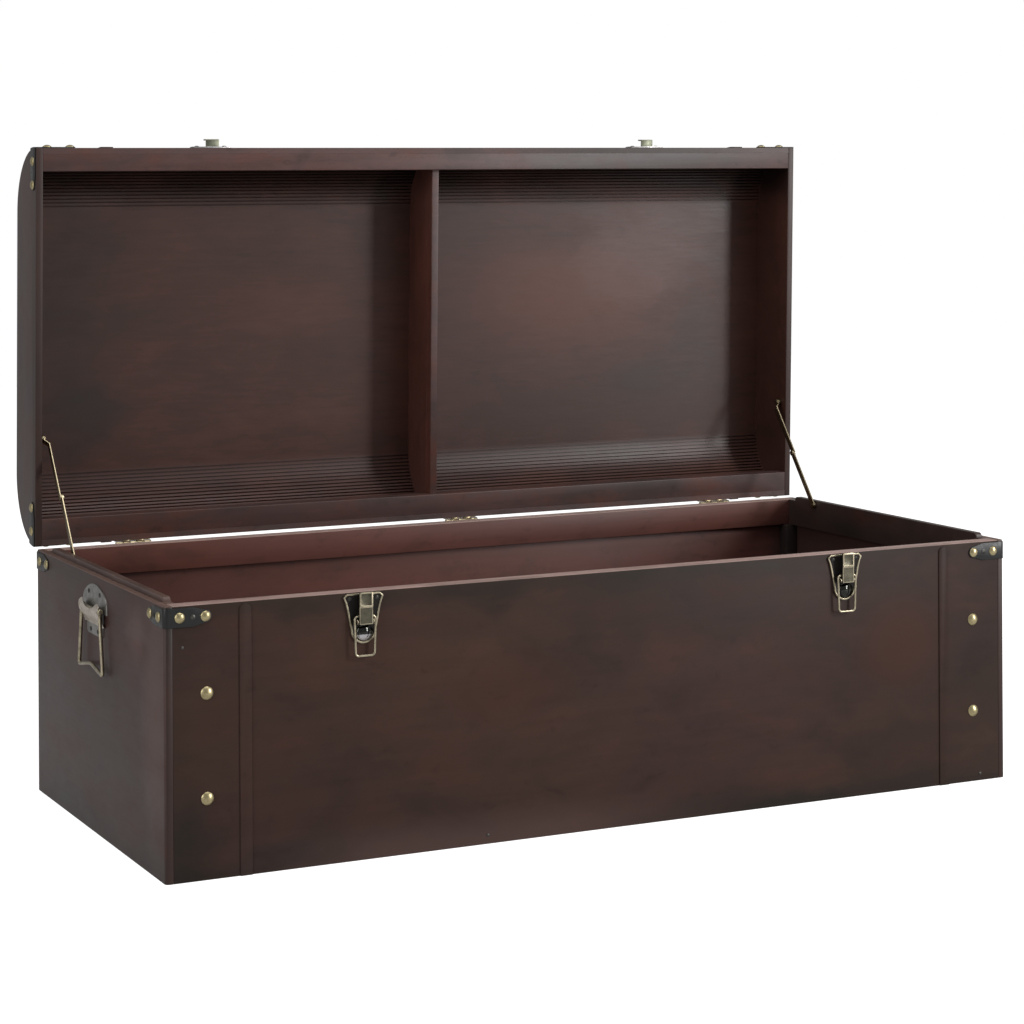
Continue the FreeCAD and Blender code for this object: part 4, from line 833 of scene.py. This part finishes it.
latch = {
    "plateFloor": 0.0016, "soft": 0.0004, "capRise": 0.0019, "floorLevel": 0.0002,
    "tabFace": 0.0117, "tabReach": 0.012, "tabLeast": 0.00004, "band": 0.0009,
    "screw": 0.72, "screwHalf": 0.017, "screwOut": 0.0006, "screwReach": 0.004, "screwsAbove": 0.30,
    "corner": 0.0075, "cornerPull": 0.50, "belly": 0.105, "bellyDown": 0.044,
    "hookHalf": 0.0090, "hookWide": 1.14, "catchFloor": 0.0027,
}


# the least share of one axis in the normal of a face that is square to it
square = 0.97


def bevelled(face):
    return max(abs(part) for part in face.normal) < square


def brightBand(thing, width, index, test):
    # a narrow bright band round each chosen face, partly wear and partly a painted edge highlight
    edit(thing)
    choose("FACE", test)
    for look in (index, 0):
        shape = bmesh.from_edit_mesh(thing.data)
        for face in shape.faces:
            if face.select:
                face.material_index = look
        bmesh.update_edit_mesh(thing.data)
        if look:
            bpy.ops.mesh.inset(thickness=width, depth=0)
    rest()


def fillOut(thing):
    # the plate's shoulders are fuller than a straight taper, and its upper corners are well rounded
    top = max(vertex.co.z for vertex in thing.data.vertices)
    low, high = (pick(vertex.co.x for vertex in thing.data.vertices) for pick in (min, max))
    middle, half, radius = (low + high) / 2, (high - low) / 2, latch["corner"]
    for vertex in thing.data.vertices:
        down = min(1, (top - vertex.co.z) / latch["bellyDown"])
        fuller = 1 + latch["belly"] * math.sin(math.pi * down) ** 2
        vertex.co.x = middle + (vertex.co.x - middle) * fuller
        across, up = abs(vertex.co.x - middle) - half + radius, vertex.co.z - top + radius
        if across > 0 and up > 0:
            steep = max(across, up) / math.hypot(across, up)
            pull = (1 - steep) * latch["cornerPull"]
            vertex.co.x -= math.copysign(across * pull, vertex.co.x - middle)
            vertex.co.z -= up * pull


def makeLatches():
    for side in ("left", "right"):
        joint = next(joint for joint in frame["joints"] if joint["name"] == f"{side}_latch_lever_pivot")
        z = joint["pos_m"][2]
        cap = makeDome(capShade["radius"], latch["capRise"])
        spot = (capShade[side], boxLow.y - latch["plateFloor"], capShade["up"])
        cap.matrix_world = stood(spot, (0, -1, 0))
        fix(cap)
        plate = copyNode(f"{side}_latch_plate")
        fillOut(plate)
        soften(plate, latch["soft"], 3)
        plateFaces = len(plate.data.polygons)
        plate = join([plate, cap])
        settle(plate, f"{side}LatchPlate", [f"{side}_latch_plate"], ["brass", "pit", "cap"])
        floor = boxLow.y - latch["plateFloor"] - latch["floorLevel"]
        for face in plate.data.polygons:
            if face.index >= plateFaces:
                face.material_index = 2
            elif face.center.y > floor and face.normal.y < -0.4:
                face.material_index = 1
        # the lever's bevels and a band round its foot are painted bright brass: partly wear, partly painted edge
        # highlights
        lever = dress(f"{side}_latch_lever", f"{side}LatchLever", ["olive", "brass"], latch["soft"])
        tab = boxLow.y - latch["tabFace"]
        brightBand(lever, latch["band"], 1, lambda face: (
            face.normal.y < -square and face.calc_area() > latch["tabLeast"]
            and face.calc_center_median().z < z + latch["tabReach"]))
        for face in lever.data.polygons:
            rim = face.normal.y < -square and abs(face.center.y - tab) < latch["floorLevel"]
            if rim or bevelled(face):
                face.material_index = 1
    dress("latch_pins", "latchPins", ["brass"])
    for side in ("left", "right"):
        thing = copyNode(f"{side}_lid_catch")
        low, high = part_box(f"{side}_lid_catch")
        middle = (low.x + high.x) / 2
        for vertex in thing.data.vertices:
            if abs(vertex.co.x - middle) < latch["hookHalf"]:
                vertex.co.x = middle + (vertex.co.x - middle) * latch["hookWide"]
        soften(thing, latch["soft"])
        settle(thing, f"{side}LidCatch", [f"{side}_lid_catch"], ["catch", "brass", "catchPlate"])
        paintFaces(thing, 1, bevelled)
        paintFaces(thing, 2, lambda face: face.center.z < low.z + latch["catchFloor"])


makeLatches()

wire = {
    "bail": 0.0014, "bailTop": 0.0138, "bailEnd": 0.0123, "bailReach": 0.0477, "bailCorner": 0.004,
    "ring": 0.0024, "ringTop": 0.0375, "ringEnd": 0.0500, "ringDrop": 0.078, "ringPeak": 0.0085,
    "ringCorner": 0.005, "knob": 0.0040, "knobLong": 0.0070, "knobOut": 0.0010, "knobSoft": 0.0018,
    "sides": 6, "cornerSteps": 8,
}


def bendWire(corners, cut, radius):
    # a closed run of straight edges with its corners rounded, given a round section
    rest()
    bpy.ops.mesh.primitive_circle_add(vertices=len(corners), radius=1, fill_type="NOTHING")
    thing = bpy.context.object
    for vertex, corner in zip(thing.data.vertices, corners):
        vertex.co = corner
    for corner in corners:
        edit(thing)
        choose("VERT", lambda vertex: (vertex.co - Vector(corner)).length < 0.00005)
        bpy.ops.mesh.bevel(offset=cut, segments=wire["cornerSteps"], affect="VERTICES")
    rest()
    take(thing)
    bpy.ops.object.convert(target="CURVE")
    thing = bpy.context.object
    thing.data.bevel_depth = radius
    thing.data.bevel_resolution = wire["sides"]
    bpy.ops.object.convert(target="MESH")
    return bpy.context.object


def makeBails():
    for side in ("left", "right"):
        low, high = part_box(f"{side}_latch_bail")
        x, y = (low.x + high.x) / 2, (low.y + high.y) / 2
        top = high.z - wire["bail"]
        bottom = top - wire["bailReach"]
        wide, narrow = wire["bailTop"], wire["bailEnd"]
        corners = [(x - wide, y, top), (x - narrow, y, bottom), (x + narrow, y, bottom), (x + wide, y, top)]
        thing = bendWire(corners, wire["bailCorner"], wire["bail"])
        settle(thing, f"{side}LatchBail", [f"{side}_latch_bail"], ["brass"], 60)


def makeRings():
    for side in ("left", "right"):
        low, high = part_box(f"{side}_handle_ring")
        x, top = (low.x + high.x) / 2, high.z - wire["knob"]
        bottom = top - wire["ringDrop"]
        corners = [(x, -wire["ringTop"], top), (x, -wire["ringEnd"], bottom), (x, 0, bottom + wire["ringPeak"]),
                   (x, wire["ringEnd"], bottom), (x, wire["ringTop"], top)]
        things = [bendWire(corners, wire["ringCorner"], wire["ring"])]
        for end in (-1, 1):
            rest()
            bpy.ops.mesh.primitive_cylinder_add(
                vertices=24, radius=wire["knob"], depth=wire["knobLong"], rotation=(math.pi / 2, 0, 0),
                location=(x, end * (wire["ringTop"] + wire["knobOut"]), top))
            knob = bpy.context.object
            fix(knob)
            soften(knob, wire["knobSoft"], 4, 40)
            things.append(knob)
        settle(join(things), f"{side}HandleRing", [f"{side}_handle_ring"], ["brass"], 60)


makeBails()
makeRings()
print("wire pieces made")


# Sheet clip that holds the ring: its run from foot to top, out from the board and up from the ring's rod
clip = {
    "run": [(0.0021, -0.0205), (0.0030, -0.0180), (0.0052, -0.0140), (0.0080, -0.0095), (0.0098, -0.0050),
            (0.0106, 0.0000), (0.0107, 0.0030), (0.0104, 0.0060), (0.0097, 0.0085), (0.0086, 0.0105)],
    "half": 0.0405, "columns": 28, "thick": 0.0012, "hollow": 0.40, "shoulder": 0.74, "foot": 0.96,
    "earDrop": 0.0035, "soft": 0.0003,
}


def makeHandles():
    run = clip["run"]
    for side, sign in (("left", -1), ("right", 1)):
        dress(f"{side}_handle_plate", f"{side}HandlePlate", ["bronze"], 0)
        height = next(joint for joint in frame["joints"] if joint["name"] == f"{side}_handle_pivot")["pos_m"][2]
        rest()
        bpy.ops.mesh.primitive_grid_add(x_subdivisions=clip["columns"], y_subdivisions=len(run) * 2, size=1)
        thing = bpy.context.object
        for vertex in thing.data.vertices:
            across = vertex.co.x * 2
            climb = vertex.co.y + 0.5
            # the middle stops short of the rod, which leaves a hollow between two upright ears
            dip = max(0.0, 1 - (abs(across) / clip["shoulder"]) ** 3)
            step = climb * (len(run) - 1) * (1 - clip["hollow"] * dip)
            first = min(int(step), len(run) - 2)
            share = step - first
            out, up = (run[first][axis] + (run[first + 1][axis] - run[first][axis]) * share for axis in (0, 1))
            wide = clip["half"] * (clip["foot"] + (1 - clip["foot"]) * min(1, climb * 2))
            # the ears' tops are rounded off
            if abs(across) > clip["shoulder"]:
                up -= clip["earDrop"] * ((abs(across) - clip["shoulder"]) / (1 - clip["shoulder"])) ** 2 * climb ** 4
            vertex.co = (sign * (boxHigh.x + out), across * wide, height + up)
        turnOut(thing, lambda face: abs(face.center.x), (sign, 0, 0))
        modify(thing, "SOLIDIFY", thickness=clip["thick"], offset=-1, use_even_offset=True)
        soften(thing, clip["soft"], 2, 50)
        settle(thing, f"{side}HandleClip", [f"{side}_handle_clip"], ["clip"], 50)


def makeHinges():
    for place in ("left", "middle", "right"):
        dress(f"{place}_hinge_box_leaf", f"{place}HingeBoxLeaf", ["stripEdge"], fitting["hingeSoft"])
        dress(f"{place}_hinge_lid_leaf", f"{place}HingeLidLeaf", ["strip"], fitting["hingeSoft"])
    dress("hinge_pins", "hingePins", ["stripEdge"])


def makeStays():
    for side in ("left", "right"):
        for part in ("lower", "upper"):
            arm = dress(f"{side}_{part}_stay", f"{side}{part.title()}Stay", ["strip", "stripEdge"])
            paintFaces(arm, 1, lambda face: abs(face.normal.x) < 0.9)
        dress(f"{side}_rail_stud", f"{side}RailStud", ["strip"])
        dress(f"{side}_lid_stud", f"{side}LidStud", ["strip"])


screw = {
    "small": 0.0019, "smallRise": 0.0008,
    "front": [(-0.5784, 0.2757), (-0.1832, 0.0110), (0.5589, 0.0098)],
}


def makeScrews():
    onBox = copyNode("box_screws")
    # the latches' upper screws are smaller than the others
    for latchSide in ("left", "right"):
        low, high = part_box(f"{latchSide}_latch_plate")
        for side in (-1, 1):
            x = (low.x + high.x) / 2 + side * latch["screwHalf"]
            heads = [vertex for vertex in onBox.data.vertices
                     if abs(vertex.co.x - x) < latch["screwReach"] and vertex.co.y < boxLow.y
                     and vertex.co.z > latch["screwsAbove"]]
            height = sum(vertex.co.z for vertex in heads) / len(heads)
            for vertex in heads:
                vertex.co.x = x + (vertex.co.x - x) * latch["screw"] + side * latch["screwOut"]
                vertex.co.z = height + (vertex.co.z - height) * latch["screw"]
    tiny = makeDome(screw["small"], screw["smallRise"])
    dots = [twin(tiny, stood((x, boxLow.y, z), (0, -1, 0))) for x, z in screw["front"]]
    bpy.data.objects.remove(tiny)
    settle(join([onBox] + dots), "boxScrews", ["box_screws"], ["dark"], 40)
    dress("lid_screws", "lidScrews", ["olive"], 0, smooth=40)


makeHandles()
makeHinges()
makeStays()
makeScrews()
print("fittings made")


# Floor and light
light = {"air": 0.34, "airGloss": 0.42, "floorGlow": 0.82, "floorGloss": 0.12, "floorSize": 14, "floorDrop": 0.0005}
# name, place, what it is aimed at, width, height and watts
softBoxes = [
    ("keySoftbox", (3.3, -3.05, 2.3), (0, 0.3, 0.4), 1.4, 1.4, 124),
    ("sheenSoftbox", (2.95, -3.4, 0.95), (0.3, 0.4, 0.6), 0.6, 0.8, 62),
    ("topSoftbox", (-0.2, -0.6, 3.2), (0, 0, 0.3), 2.6, 1.8, 44),
    ("leftSoftbox", (-3.4, -1.2, 1.6), (0, 0, 0.3), 1.8, 2.4, 44),
]


def makeStage():
    bpy.ops.mesh.primitive_plane_add(size=light["floorSize"], location=(0, 0, -light["floorDrop"]))
    floor = bpy.context.object
    floor.name = "studioFloor"
    paint = Paint("paleFloor")
    seen = paint.tree.nodes.new("ShaderNodeLightPath")
    camera = Wire(paint, seen.outputs["Is Camera Ray"])
    glossy = Wire(paint, seen.outputs["Is Glossy Ray"])
    through = Wire(paint, seen.outputs["Is Transmission Ray"])
    paint.feed(paint.shader.inputs["Base Color"], (0.6, 0.6, 0.6))
    paint.feed(paint.shader.inputs["Roughness"], 0.9)
    paint.feed(paint.shader.inputs["Emission Color"], (1, 1, 1))
    glow = camera * light["floorGlow"] + glossy * light["floorGloss"] + through * light["floorGlow"]
    paint.feed(paint.shader.inputs["Emission Strength"], glow)
    floor.data.materials.append(paint.material)


def softBox(name, place, aim, width, height, power):
    bpy.ops.object.light_add(type="AREA", location=place)
    lamp = bpy.context.object
    lamp.name = name
    lamp.data.shape = "RECTANGLE"
    lamp.data.size, lamp.data.size_y = width, height
    lamp.data.energy = power
    lamp.rotation_euler = (Vector(aim) - Vector(place)).to_track_quat("-Z", "Y").to_euler()
    lamp.visible_camera = False
    return lamp


def makeLight():
    world = bpy.data.worlds.new("studioAir")
    bpy.context.scene.world = world
    world.use_nodes = True
    tree = world.node_tree
    background = tree.nodes["Background"]
    path = tree.nodes.new("ShaderNodeLightPath")

    def blend(first, second, low, high):
        step = tree.nodes.new("ShaderNodeMath")
        step.operation = "MAXIMUM"
        tree.links.new(path.outputs[first], step.inputs[0])
        tree.links.new(path.outputs[second], step.inputs[1])
        scale = tree.nodes.new("ShaderNodeMapRange")
        scale.inputs["To Max"].default_value = high
        if isinstance(low, float):
            scale.inputs["To Min"].default_value = low
        else:
            tree.links.new(low, scale.inputs["To Min"])
        tree.links.new(step.outputs[0], scale.inputs["Value"])
        return scale.outputs[0]

    gloss = blend("Is Glossy Ray", "Is Glossy Ray", light["air"], light["airGloss"])
    strength = blend("Is Camera Ray", "Is Transmission Ray", gloss, 1.0)
    background.inputs["Color"].default_value = (1, 1, 1, 1)
    tree.links.new(strength, background.inputs["Strength"])
    for name, place, aim, width, height, power in softBoxes:
        softBox(name, place, aim, width, height, power)


makeStage()
makeLight()
print("stage and light made")
